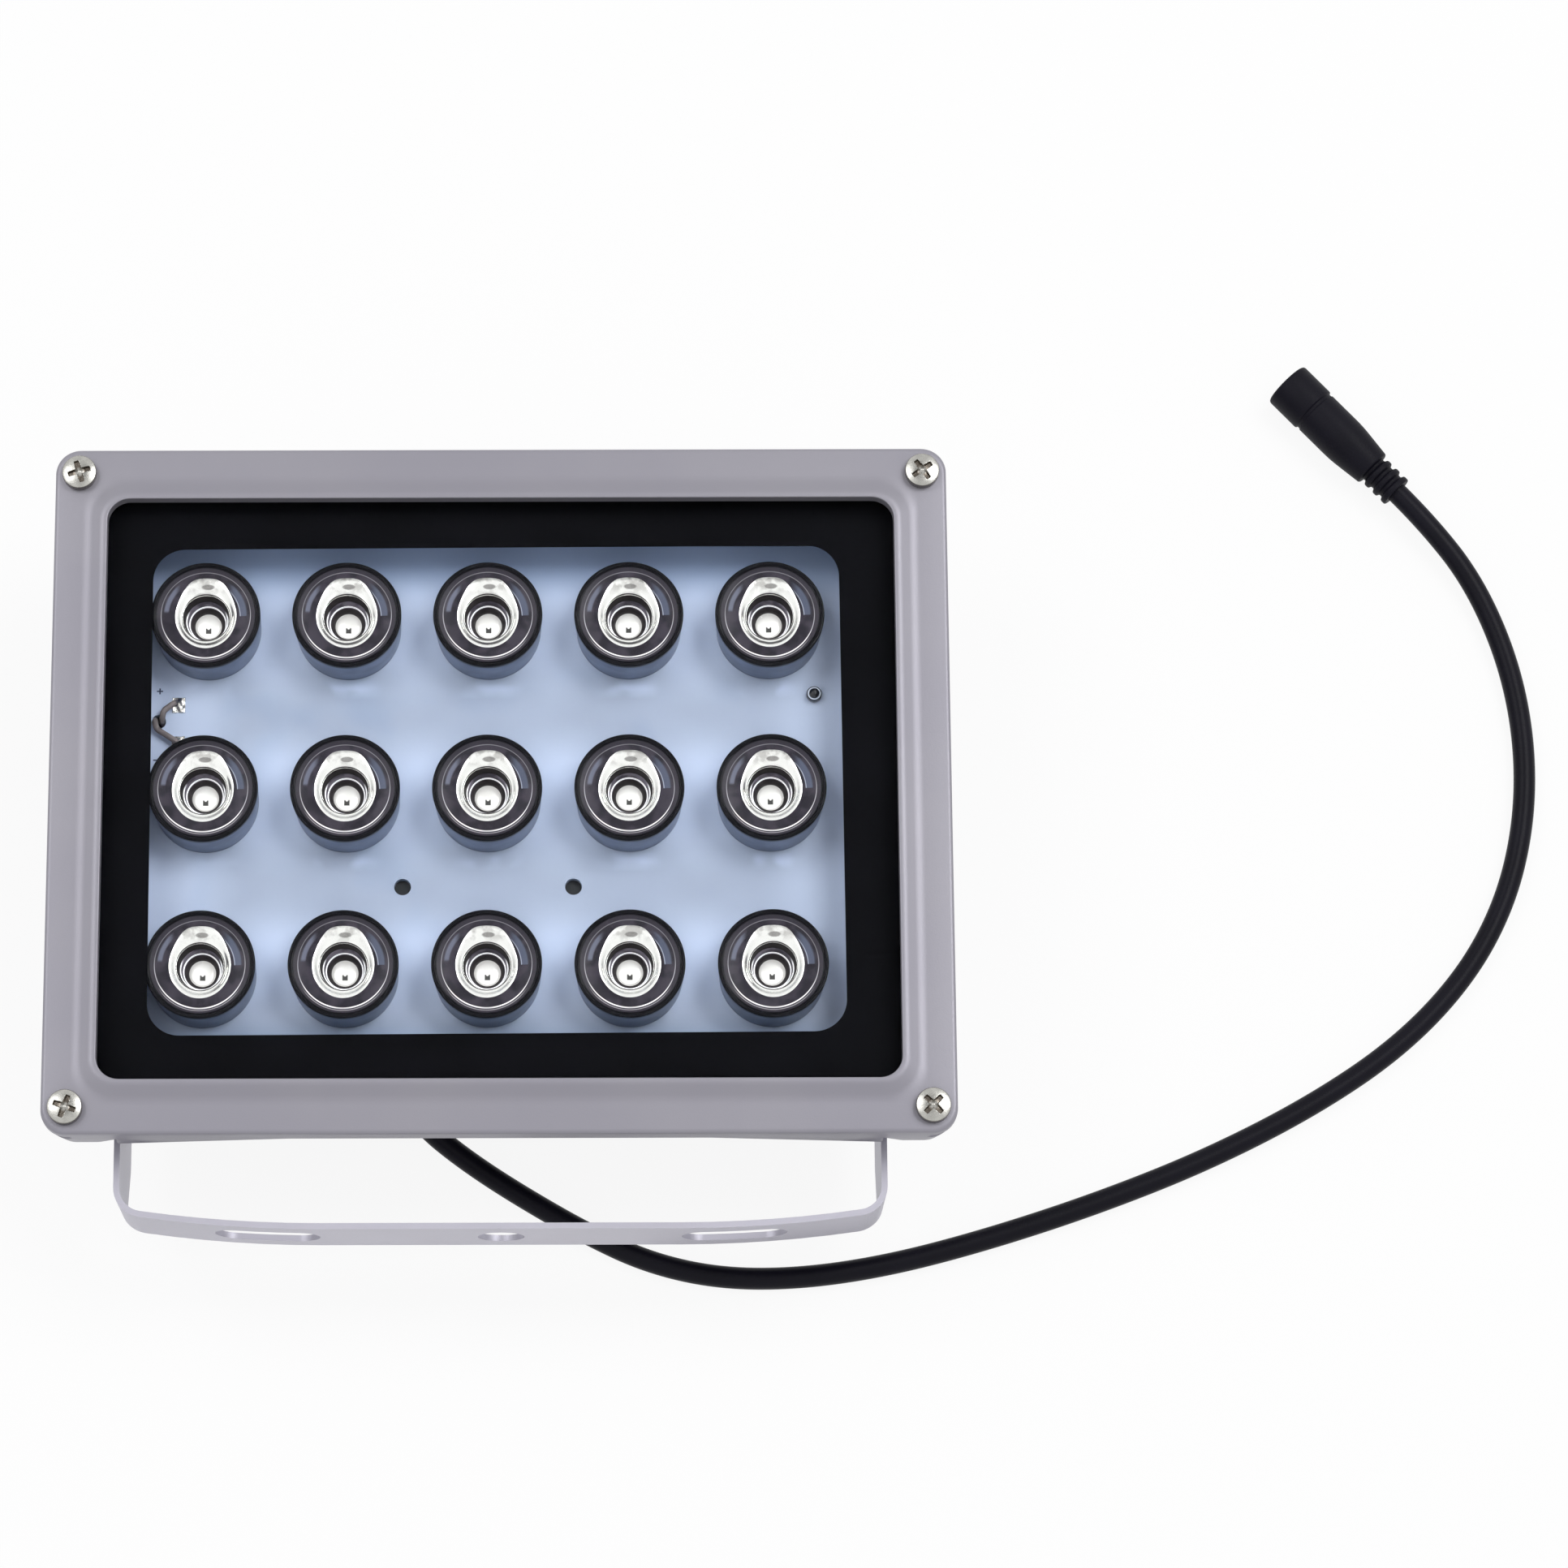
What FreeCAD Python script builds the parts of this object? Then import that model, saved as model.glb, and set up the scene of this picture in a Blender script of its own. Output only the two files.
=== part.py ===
"""Infrared illuminator: a finned die casting, a glazed bezel, fifteen lensed emitters and a swing bracket.

Lengths are in millimetres.  X runs along the long side of the panel, Y towards its top edge and Z
out of the glass.  Z = 0 is the back of the driver cover, the face on which the lamp lies.
"""
import FreeCAD, Part
import math
import os

Vector = FreeCAD.Vector
ALONG_X = Vector(1, 0, 0)
ALONG_Y = Vector(0, 1, 0)
ALONG_Z = Vector(0, 0, 1)

# bezel
bezel_length = 180.0
bezel_height = 141.0
bezel_corner_radius = 5.0
bezel_edge_thickness = 3.0
bezel_edge_round = 0.9
bezel_flat_width = 6.8
bezel_slope_width = 2.9
bezel_rise = 1.3
bezel_rim_width = 1.1
bezel_lip_thickness = 2.8
opening_corner_radius = 4.5

# bezel screws, the heads left at the angles at which they were driven home
screw_inset_x = 4.9
screw_inset_y = 5.2
screw_diameter = 4.0
screw_head_diameter = 6.9
screw_head_height = 2.2
screw_head_crown = 0.7
screw_crown_inset = 0.8
screw_crown_top = 0.2
screw_length = 11.0
screw_recess_width = 1.0
screw_recess_depth = 1.3
screw_recess_reach = 2.3
screw_turns = (17.0, 35.0, -20.0, 45.0)
screw_play = 0.2
screw_tip_gap = 1.0
thread_play = 0.02

# glass and its printed border
glass_thickness = 4.0
glass_lap = 2.3
glass_play = 0.4
border_thickness = 0.15
border_side_width = 9.9
border_top_width = 9.4
window_corner_radius = 6.5
window_shift_x = -0.8
window_shift_y = 0.9
window_turn = 0.26
gasket_thickness = 1.2
gasket_width = 4.0

# driver compartment and its cover
cover_thickness = 4.0
cover_edge_chamfer = 0.8
cover_gasket_thickness = 1.0
compartment_length = 80.0
compartment_height = 48.0
compartment_wall = 3.0
compartment_corner_radius = 5.0
compartment_centre_y = 3.0
compartment_depth = 24.4
cover_screw_inset = 6.0
cover_screw_diameter = 3.0
cover_screw_head_diameter = 5.6
cover_screw_head_height = 1.8
cover_screw_recess_depth = 0.8
cover_screw_recess_reach = 1.8
cover_screw_counterbore_depth = 2.2
cover_screw_length = 12.0
cover_boss_diameter = 8.0

# housing casting
plate_thickness = 5.0
wall_thickness = 2.6
body_draft = 0.7
body_corner_radius = 9.0
cavity_play = 0.3
shelf_thickness = 3.8
flange_thickness = 4.0
flange_setback = 0.4
boss_depth = 10.5
boss_root_size = 19.0
boss_tip_size = 14.0
boss_draft = 0.7
edge_rib_length = 34.0
edge_rib_width = 3.0
edge_rib_depth = 4.6
fin_pitch = 6.0
fin_root_thickness = 2.4
fin_tip_thickness = 1.6
fin_height = 17.0
fin_end_chamfer = 7.0
fin_end_inset = 6.0
fin_gap_to_compartment = 4.0
cable_groove_width = 5.0
cable_groove_depth = 3.8
pivot_lug_diameter = 23.0
pivot_lug_length = 18.0

# circuit board and what it carries
board_margin_x = 2.2
board_margin_y = 4.8
board_thickness = 1.6
board_corner_radius = 6.0
board_hole_diameter = 3.4
board_hole_offset_x = 17.2
board_hole_offset_y = 0.3
columns = 5
rows = 3
array_shift_x = -2.7
array_shift_y = 1.2
sensor_inset_x = 5.1
sensor_offset_y = 4.05
sensor_diameter = 3.1
sensor_height = 2.2
sensor_shoulder_height = 1.3
sensor_crown_diameter = 1.6
pad_inset_x = 4.5
pad_shares = (0.31, -0.83)
pad_length = 2.7
pad_height = 3.3
pad_thickness = 0.25
solder_height = 0.9
solder_foot_diameter = 2.5
solder_top_diameter = 1.4
wire_hole_inset_x = 0.5
wire_hole_share = -0.17
wire_hole_diameter = 2.9
wire_diameter = 1.2
wire_feed_inset = 3.0
wire_bend_radius = 1.5
wire_gap = 0.12
wire_floor_gap = 0.3
wire_rise_offset = 0.7
wire_upright_run = 1.9
wire_lean = 0.3
positive_end = (-0.6, 0.3)
negative_end = (0.0, 0.0)

# emitter and collimating lens
emitter_base_diameter = 7.8
emitter_base_height = 1.4
emitter_dome_radius = 2.6
lens_diameter = 22.1
lens_foot_diameter = 21.2
lens_height = 11.0
lens_rim_width = 1.9
lens_face_drop_outer = 0.7
lens_face_drop_inner = 1.2
lens_bore_diameter = 8.6
lens_edge_margin_x = 1.29
lens_edge_margin_y = 3.06
lens_glass_gap = 1.0

# driver board
driver_length = 58.0
driver_height = 34.0
driver_thickness = 1.6
driver_corner_radius = 1.0
driver_post_height = 8.8
driver_post_diameter = 7.0
driver_post_spacing = 46.0
driver_screw_diameter = 3.0
driver_screw_head_diameter = 5.5
driver_screw_head_height = 2.0
driver_screw_length = 7.0
chip_length = 5.0
chip_height = 4.0
chip_thickness = 1.5
chip_offset_x = 6.5
chip_offset_y = -7.0
inductor_diameter = 10.0
inductor_height = 6.0
inductor_flange_thickness = 1.0
inductor_winding_diameter = 7.6
inductor_offset_x = -6.0
inductor_offset_y = 4.0
capacitor_diameter = 8.0
capacitor_length = 9.0
capacitor_groove_start = 1.8
capacitor_groove_width = 1.0
capacitor_groove_depth = 0.3
capacitor_edge = 0.4
capacitor_offset_x = 10.0
capacitor_offset_y = 5.0

# cable gland
gland_inset = 15.4
gland_z = 11.0
gland_hex = 15.0
gland_hex_length = 3.0
gland_thread_diameter = 11.8
gland_thread_length = 4.0
gland_nut_diameter = 15.0
gland_nut_length = 9.0
gland_nut_mouth_diameter = 8.4
gland_nut_shoulder = 5.4
gland_nut_lip = 1.0
gland_wall = 1.6
gland_clamp_taper = 1.2
gland_tail_length = 4.0
gland_tail_diameter = 6.4
gland_grip_depth = 3.0
gland_fit = 0.02
grip_play = 0.05

# cord and its connector
cord_diameter = 4.5
floor_clearance = 0.1
run_share = 0.45
connector_length = 33.0
connector_barrel_diameter = 10.4
connector_barrel_length = 8.0
connector_neck_diameter = 9.5
connector_neck_length = 0.8
connector_body_diameter = 9.9
connector_taper_diameter = 8.1
connector_rib_diameter = 7.1
connector_groove_diameter = 5.6
connector_rib_count = 3
connector_rib_pitch = 2.4
connector_rib_width = 1.4
connector_taper_length = 7.8
connector_edge = 0.4
connector_socket_depth = 10.0
socket_bore_diameter = 5.6
socket_sleeve_wall = 0.35
socket_pin_diameter = 2.1
socket_pin_length = 8.6
socket_pin_point = 0.6
socket_inset = 0.5

# bracket and pivots
strap_thickness = 1.2
strap_width = 18.0
arm_clearance = 1.1
crossbar_gap = 16.2
bracket_arm_width = 26.0
bracket_corner_radius = 6.0
bracket_shoulder_inset = 3.7
bracket_shoulder_length = 13.0
bracket_shoulder_radius = 4.0
crossbar_flat_half = 36.0
crossbar_bow_radius = 250.0
slot_length = 21.0
slot_width = 9.0
slot_offset = 46.5
centre_hole_diameter = 9.3
bracket_front_gap = 1.5
pivot_diameter = 6.0
pivot_play = 0.05
friction_washer_thickness = 1.0
friction_washer_diameter = 18.0
flat_washer_thickness = 1.2
flat_washer_diameter = 14.0
spring_washer_thickness = 1.5
spring_washer_diameter = 10.4
spring_washer_split = 1.2
pivot_head_across = 10.0
pivot_head_height = 4.0
pivot_thread_length = 14.0

# how far joined pieces and cutters reach past a face, and how far off an edge may lie when it is picked
overshoot = 1.0
cutter_length = 20.0
edge_search = 1.0

# levels along Z, each from the one below it
cover_front = cover_thickness
compartment_back = cover_front + cover_gasket_thickness
plate_back = compartment_back + compartment_depth
plate_front = plate_back + plate_thickness
board_front = plate_front + board_thickness
lens_front = board_front + lens_height
glass_back = lens_front + lens_glass_gap
glass_front = glass_back + glass_thickness
rim_top = glass_front + bezel_lip_thickness
bezel_flat = rim_top - bezel_rise
flange_front = bezel_flat - bezel_edge_thickness
flange_back = flange_front - flange_thickness
seat_level = glass_back - gasket_thickness
shelf_back = seat_level - shelf_thickness
boss_back = flange_front - boss_depth
fin_tip = plate_back - fin_height
arm_front = boss_back - bracket_front_gap
pivot_level = arm_front - bracket_arm_width / 2

# widths and places that follow from the ones above
frame_width = bezel_flat_width + bezel_slope_width + bezel_rim_width
bezel_crest_round = bezel_slope_width / 4
bezel_foot_round = bezel_slope_width / 2
opening_length = bezel_length - 2 * frame_width
opening_height = bezel_height - 2 * frame_width
glass_length = opening_length + 2 * glass_lap
glass_height = opening_height + 2 * glass_lap
glass_corner_radius = opening_corner_radius + glass_lap
window_length = opening_length - 2 * border_side_width
window_height = opening_height - 2 * border_top_width
board_length = window_length + 2 * board_margin_x
board_height = window_height + 2 * board_margin_y
pitch_x = (window_length - lens_diameter - 2 * lens_edge_margin_x) / (columns - 1)
pitch_y = (window_height - lens_diameter - 2 * lens_edge_margin_y) / (rows - 1)
between_rows = pitch_y / 2
seat_length = glass_length + 2 * glass_play
seat_height = glass_height + 2 * glass_play
cavity_length = board_length + 2 * cavity_play
cavity_height = board_height + 2 * cavity_play
body_length = cavity_length + 2 * wall_thickness
body_height = cavity_height + 2 * wall_thickness
screw_x = bezel_length / 2 - screw_inset_x
screw_y = bezel_height / 2 - screw_inset_y
compartment_bottom = compartment_centre_y - compartment_height / 2
compartment_top = compartment_centre_y + compartment_height / 2
arm_inner_x = body_length / 2 + arm_clearance
arm_outer_x = arm_inner_x + strap_thickness
bracket_reach = bezel_height / 2 + crossbar_gap
bracket_shoulder_y = bracket_shoulder_inset - bracket_reach
lug_face_x = arm_inner_x - friction_washer_thickness
crossbar_level = arm_front - strap_width / 2
cord_level = cord_diameter / 2 + floor_clearance
connector_level = connector_barrel_diameter / 2 + floor_clearance
window_left = window_shift_x - window_length / 2
window_right = window_shift_x + window_length / 2
sensor_x = window_right - sensor_inset_x
sensor_y = array_shift_y + between_rows + sensor_offset_y
wire_hole_x = window_left + wire_hole_inset_x
first_column_x = array_shift_x - pitch_x * (columns - 1) / 2
pad_x = window_left + pad_inset_x
lens_reach_at_pads = math.sqrt((lens_diameter / 2) ** 2 - (pad_x - first_column_x) ** 2)
pad_room = between_rows - lens_reach_at_pads - pad_height / 2
pads = [(pad_x, array_shift_y + between_rows + share * pad_room) for share in pad_shares]
wire_hole_y = array_shift_y + between_rows + wire_hole_share * pad_room
board_holes = [(array_shift_x + side * board_hole_offset_x, array_shift_y - between_rows + board_hole_offset_y)
               for side in (-1, 1)]
driver_front = plate_back - driver_post_height
driver_back = driver_front - driver_thickness
wire_feed_x = wire_feed_inset - driver_length / 2
gland_x = gland_inset - compartment_length / 2
gland_mouth_y = compartment_bottom - gland_hex_length - gland_nut_length - gland_tail_length

# route of the cord, from inside the gland's tail to the back of the connector
cord_route = (
    (gland_x, gland_mouth_y + gland_grip_depth, gland_z),
    (gland_x, -43.4, gland_z),
    (-21.7, -52.2, 9.4),
    (-16.4, -59.5, 6.5),
    (-8.8, -65.4, 3.9),
    (1.6, -72.2, cord_level),
    (16.5, -81.0, cord_level),
    (29.5, -87.2, cord_level),
    (44.0, -90.5, cord_level),
    (60.0, -90.6, cord_level),
    (78.0, -88.0, cord_level),
    (98.0, -82.8, cord_level),
    (121.0, -75.3, cord_level),
    (144.0, -66.2, cord_level),
    (166.0, -55.0, cord_level),
    (184.5, -42.6, cord_level),
    (198.5, -28.2, cord_level),
    (207.5, -12.6, cord_level),
    (212.3, 4.6, cord_level),
    (213.3, 22.5, cord_level),
    (210.6, 40.5, cord_level),
    (203.9, 57.5, 3.2),
    (194.3, 69.9, connector_level),
    (188.2, 76.5, connector_level),
)


def outline(length, height, radius, level, centre_x=0.0, centre_y=0.0):
    """Closed outline of a rectangle with round corners, lying at one level."""
    right = centre_x + length / 2 - radius
    left = centre_x - length / 2 + radius
    top = centre_y + height / 2 - radius
    bottom = centre_y - height / 2 + radius
    arcs = []
    for x, y, start in ((right, top, 0), (left, top, 90), (left, bottom, 180), (right, bottom, 270)):
        circle = Part.Circle(Vector(x, y, level), ALONG_Z, radius)
        arcs.append(Part.Arc(circle, math.radians(start), math.radians(start + 90)).toShape())
    edges = []
    for arc, following in zip(arcs, arcs[1:] + arcs[:1]):
        edges.append(arc)
        edges.append(Part.LineSegment(arc.Vertexes[-1].Point, following.Vertexes[0].Point).toShape())
    return Part.Wire(edges)


def slab(length, height, radius, low, high, centre_x=0.0, centre_y=0.0):
    """Flat plate with round corners between two levels."""
    face = Part.Face(outline(length, height, radius, low, centre_x, centre_y))
    return face.extrude(Vector(0, 0, high - low))


def drum(diameter, start, direction, length):
    """Solid cylinder from a start point along a direction."""
    return Part.makeCylinder(diameter / 2, length, start, direction)


def block(low, high):
    """Box between two opposite corners."""
    size = Vector(*high) - Vector(*low)
    return Part.makeBox(size.x, size.y, size.z, Vector(*low))


def prism(points, direction):
    """Polygon carried along a direction."""
    corners = [Vector(*point) for point in points]
    return Part.Face(Part.makePolygon(corners + corners[:1])).extrude(direction)


def turned(profile, base, axis):
    """Solid of revolution; the profile lists (distance along the axis, radius) pairs."""
    axis = Vector(axis).normalize()
    side = axis.cross(ALONG_Z if abs(axis.z) < 0.9 else ALONG_X).normalize()
    points = [base + axis * along + side * radius for along, radius in profile]
    face = Part.Face(Part.makePolygon(points + points[:1]))
    return face.revolve(base, axis, 360)


def hexagon(across, start, direction, length):
    """Hexagonal bar from a start point along a direction."""
    axis = Vector(direction).normalize()
    side = axis.cross(ALONG_Z if abs(axis.z) < 0.9 else ALONG_X).normalize()
    other = axis.cross(side)
    reach = across / math.sqrt(3)
    angles = [math.radians(60 * corner) for corner in range(6)]
    points = [start + side * reach * math.cos(a) + other * reach * math.sin(a) for a in angles]
    return Part.Face(Part.makePolygon(points + points[:1])).extrude(axis * length)


def joined(shapes):
    """One solid from overlapping pieces of the same casting."""
    first, *rest = shapes
    return first.fuse(rest).removeSplitter()


def edges_at(shape, level, low_reach, high_reach):
    """Edges lying at one level whose middle is between two distances from the panel's outer edge."""
    chosen = []
    for edge in shape.Edges:
        box = edge.BoundBox
        if abs(box.ZMin - level) > 1e-4 or abs(box.ZMax - level) > 1e-4:
            continue
        middle = edge.CenterOfMass
        inset = min(bezel_length / 2 - abs(middle.x), bezel_height / 2 - abs(middle.y))
        if low_reach <= inset <= high_reach:
            chosen.append(edge)
    return chosen


def corner_places(x, y):
    """The four mirrored places, in reading order."""
    return ((-x, y), (x, y), (-x, -y), (x, -y))


def smooth_path(points, largest_radius=math.inf):
    """Straight runs joined by tangent arcs, as large as the shorter run at each point allows."""
    places = [Vector(*point) for point in points]
    edges = []
    radii = []
    start = places[0]
    for before, corner, after in zip(places, places[1:], places[2:]):
        back = before - corner
        ahead = after - corner
        turn = math.pi - back.getAngle(ahead)
        reach = run_share * min(back.Length, ahead.Length)
        radius = min(reach / math.tan(turn / 2), largest_radius)
        reach = radius * math.tan(turn / 2)
        back.normalize()
        ahead.normalize()
        bisector = (back + ahead).normalize()
        middle = corner + bisector * (radius / math.cos(turn / 2) - radius)
        enter = corner + back * reach
        leave = corner + ahead * reach
        edges.append(Part.LineSegment(start, enter).toShape())
        edges.append(Part.Arc(enter, middle, leave).toShape())
        radii.append(radius)
        start = leave
    edges.append(Part.LineSegment(start, places[-1]).toShape())
    return Part.Wire(edges), radii


def tube(points, diameter, largest_radius=math.inf):
    """Round tube along a path of runs and tangent arcs, with its length and its radii."""
    path, radii = smooth_path(points, largest_radius)
    start = Vector(*points[0])
    circle = Part.Circle(start, Vector(*points[1]) - start, diameter / 2)
    solid = path.makePipeShell([Part.Wire(circle.toShape())], True, False)
    return solid, path.Length, radii


def screw(place, axis, head, height, shank, length):
    """Pan head screw; the axis points out of the head, the place is under it."""
    shoulder = height - screw_head_crown
    profile = (
        (-length, 0), (-length, shank / 2), (0, shank / 2), (0, head / 2), (shoulder, head / 2),
        (height - screw_crown_top, head / 2 - screw_crown_inset), (height, head / 2 - 2 * screw_crown_inset),
        (height, 0),
    )
    return turned(profile, Vector(*place), axis)


def cross_recess(place, axis, height, reach, depth, turn):
    """Cutter for the cross recess in a screw head."""
    half = screw_recess_width / 2
    floor = height - depth
    cross = block((-reach, -half, floor), (reach, half, height + overshoot))
    cross = cross.fuse(block((-half, -reach, floor), (half, reach, height + overshoot)))
    cross.rotate(Vector(), ALONG_Z, turn)
    if axis.z < 0:
        cross.rotate(Vector(), ALONG_X, 180)
    cross.translate(Vector(*place))
    return cross


def front_bezel():
    """Die-cast frame: flat flange, sloped raised rim, lip over the glass."""
    base = slab(bezel_length, bezel_height, bezel_corner_radius, flange_front, bezel_flat)
    base = base.makeFillet(bezel_edge_round, edges_at(base, bezel_flat, 0, edge_search))
    foot = 2 * bezel_flat_width
    crest = 2 * (bezel_flat_width + bezel_slope_width)
    lower = outline(bezel_length - foot, bezel_height - foot,
                    opening_corner_radius + bezel_slope_width, bezel_flat)
    upper = outline(bezel_length - crest, bezel_height - crest, opening_corner_radius + bezel_rim_width,
                    rim_top)
    raised = Part.makeLoft([lower, upper], True, True)
    frame = base.fuse(raised).removeSplitter()
    crest_inset = bezel_flat_width + bezel_slope_width
    crest_edges = edges_at(frame, rim_top, crest_inset - edge_search, crest_inset + 2 * edge_search)
    frame = frame.makeFillet(bezel_crest_round, crest_edges)
    foot_edges = edges_at(frame, bezel_flat, bezel_flat_width - edge_search,
                          bezel_flat_width + 3 * edge_search)
    frame = frame.makeFillet(bezel_foot_round, foot_edges)
    frame = frame.cut(slab(opening_length, opening_height, opening_corner_radius, 0, 2 * rim_top))
    frame = frame.cut(slab(seat_length, seat_height, glass_corner_radius + glass_play, 0, glass_front))
    hole = screw_diameter + 2 * screw_play
    for x, y in corner_places(screw_x, screw_y):
        frame = frame.cut(drum(hole, Vector(x, y, 0), ALONG_Z, 2 * rim_top))
    return frame


def bezel_screws():
    """Four cross-recessed screws, each left at its own angle."""
    screws = []
    for (x, y), turn in zip(corner_places(screw_x, screw_y), screw_turns):
        place = (x, y, bezel_flat)
        body = screw(place, ALONG_Z, screw_head_diameter, screw_head_height, screw_diameter, screw_length)
        screws.append(body.cut(cross_recess(place, ALONG_Z, screw_head_height, screw_recess_reach,
                                            screw_recess_depth, turn)))
    return Part.makeCompound(screws)


def glass_pane():
    """Toughened front glass, its edge held between gasket and bezel."""
    return slab(glass_length, glass_height, glass_corner_radius, glass_back, glass_front)


def glass_border():
    """Black print behind the glass, with the clear window left in it."""
    low = glass_back - border_thickness
    inset = 2 * (gasket_width + glass_play)
    ring = slab(glass_length - inset, glass_height - inset, glass_corner_radius - gasket_width, low,
                glass_back)
    window = slab(window_length, window_height, window_corner_radius, low - overshoot, glass_back + overshoot,
                  window_shift_x, window_shift_y)
    window.rotate(Vector(window_shift_x, window_shift_y, 0), ALONG_Z, window_turn)
    return ring.cut(window)


def glass_gasket():
    """Silicone seal between the glass and its shelf in the casting."""
    ring = slab(glass_length, glass_height, glass_corner_radius, seat_level, glass_back)
    inner = slab(glass_length - 2 * gasket_width, glass_height - 2 * gasket_width,
                 glass_corner_radius - gasket_width, seat_level - overshoot, glass_back + overshoot)
    return ring.cut(inner)


def housing_shell():
    """Bowl with its shelf for the glass, flange and plate, still without fins."""
    back = outline(body_length - 2 * body_draft, body_height - 2 * body_draft, body_corner_radius, plate_back)
    front = outline(body_length, body_height, body_corner_radius, flange_back)
    bowl = Part.makeLoft([back, front], True, True)
    shelf = slab(seat_length + 2 * wall_thickness, seat_height + 2 * wall_thickness,
                 glass_corner_radius + wall_thickness, shelf_back, flange_back)
    flange = slab(bezel_length - 2 * flange_setback, bezel_height - 2 * flange_setback,
                  bezel_corner_radius + flange_setback, flange_back, flange_front)
    return [bowl, shelf, flange]


def corner_bosses():
    """Tapered screw bosses under the flange corners, and the ribs that run from them."""
    pieces = []
    for x, y in corner_places(1, 1):
        edge_x = x * (bezel_length / 2 - flange_setback)
        edge_y = y * (bezel_height / 2 - flange_setback)
        outlines = []
        for size, level in ((boss_root_size, flange_back), (boss_tip_size, boss_back)):
            setback = boss_draft if level == boss_back else 0
            outlines.append(outline(size, size, bezel_corner_radius, level,
                                    edge_x - x * (size / 2 + setback), edge_y - y * (size / 2 + setback)))
        pieces.append(Part.makeLoft(outlines, True, True))
        start = edge_x - x * boss_tip_size
        rib = ((start, edge_y, flange_back), (start, edge_y, flange_back - edge_rib_depth),
               (start - x * edge_rib_length, edge_y, flange_back))
        pieces.append(prism(rib, Vector(0, -y * edge_rib_width, 0)))
    return pieces


def fin(x, bottom, top):
    """One tapered cooling fin along Y, its lower corners cut back."""
    half = fin_pitch / 2
    root = plate_back + overshoot
    tip_bottom = bottom + fin_end_chamfer
    tip_top = top - fin_end_chamfer
    shoulder = fin_tip + fin_end_chamfer
    side = prism(((x - half, bottom, root), (x - half, bottom, shoulder), (x - half, tip_bottom, fin_tip),
                  (x - half, tip_top, fin_tip), (x - half, top, shoulder), (x - half, top, root)),
                 ALONG_X * fin_pitch)
    section = prism(((x - fin_root_thickness / 2, bottom, root),
                     (x - fin_tip_thickness / 2, bottom, fin_tip),
                     (x + fin_tip_thickness / 2, bottom, fin_tip),
                     (x + fin_root_thickness / 2, bottom, root)), Vector(0, top - bottom, 0))
    return side.common(section)


def fins():
    """Long fins beside the driver compartment and short ones above it; the cable bay stays free."""
    reach = body_height / 2 - body_draft - fin_end_inset
    last_x = body_length / 2 - body_draft - fin_root_thickness
    inner_x = compartment_length / 2 + fin_gap_to_compartment
    count = int(last_x // fin_pitch)
    pieces = []
    for number in range(-count, count + 1):
        x = number * fin_pitch
        if abs(x) > inner_x:
            pieces.append(fin(x, -reach, reach))
        else:
            pieces.append(fin(x, compartment_top + fin_gap_to_compartment, reach))
    return pieces


def pivot_lugs():
    """Round lugs that carry the bracket's pivots, tied to the plate above them."""
    pieces = []
    half = pivot_lug_diameter / 2
    for side in (-1, 1):
        start = side * (lug_face_x - pivot_lug_length)
        pieces.append(drum(pivot_lug_diameter, Vector(start, 0, pivot_level), ALONG_X * side, pivot_lug_length))
        xs = sorted((start, side * lug_face_x))
        pieces.append(block((xs[0], -half, pivot_level), (xs[1], half, plate_back + overshoot)))
    return pieces


def driver_posts():
    """Places of the two posts that carry the driver board."""
    return [(side * driver_post_spacing / 2, compartment_centre_y) for side in (-1, 1)]


def rear_housing():
    """The main casting: bowl, flange, bosses, fins, lugs and the driver compartment."""
    compartment = slab(compartment_length, compartment_height, compartment_corner_radius,
                       compartment_back, plate_back + overshoot, 0, compartment_centre_y)
    body = joined(housing_shell() + corner_bosses() + fins() + pivot_lugs() + [compartment])
    inner = slab(compartment_length - 2 * compartment_wall, compartment_height - 2 * compartment_wall,
                 compartment_corner_radius - compartment_wall, compartment_back - overshoot, plate_back,
                 0, compartment_centre_y)
    bosses = []
    for x, y in cover_screw_places():
        bosses.append(drum(cover_boss_diameter, Vector(x, y, compartment_back), ALONG_Z, compartment_depth))
    for x, y in driver_posts():
        bosses.append(drum(driver_post_diameter, Vector(x, y, plate_back - driver_post_height), ALONG_Z,
                           driver_post_height))
    body = body.cut(inner.cut(Part.makeCompound(bosses)))
    cuts = [
        slab(cavity_length, cavity_height, board_corner_radius + cavity_play, plate_front, rim_top),
        slab(seat_length, seat_height, glass_corner_radius + glass_play, seat_level, rim_top),
        drum(gland_thread_diameter + 2 * gland_fit, Vector(gland_x, compartment_bottom - overshoot, gland_z),
             ALONG_Y, compartment_wall + 2 * overshoot),
        wire_groove(),
    ]
    for x, y in corner_places(screw_x, screw_y):
        depth = screw_length - bezel_edge_thickness + screw_tip_gap
        cuts.append(drum(screw_diameter + 2 * thread_play, Vector(x, y, flange_front - depth), ALONG_Z,
                         depth + overshoot))
    for x, y in cover_screw_places():
        cuts.append(drum(cover_screw_diameter + 2 * thread_play, Vector(x, y, cover_screw_counterbore_depth),
                         ALONG_Z, cover_screw_length + screw_tip_gap))
    for x, y in driver_posts():
        start = plate_back - driver_post_height
        cuts.append(drum(driver_screw_diameter + 2 * thread_play, Vector(x, y, start), ALONG_Z,
                         driver_screw_length))
    for side in (-1, 1):
        cuts.append(drum(pivot_diameter + 2 * thread_play, Vector(side * lug_face_x, 0, pivot_level),
                         ALONG_X * -side, pivot_thread_length + screw_tip_gap))
    return body.cut(cuts)


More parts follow.
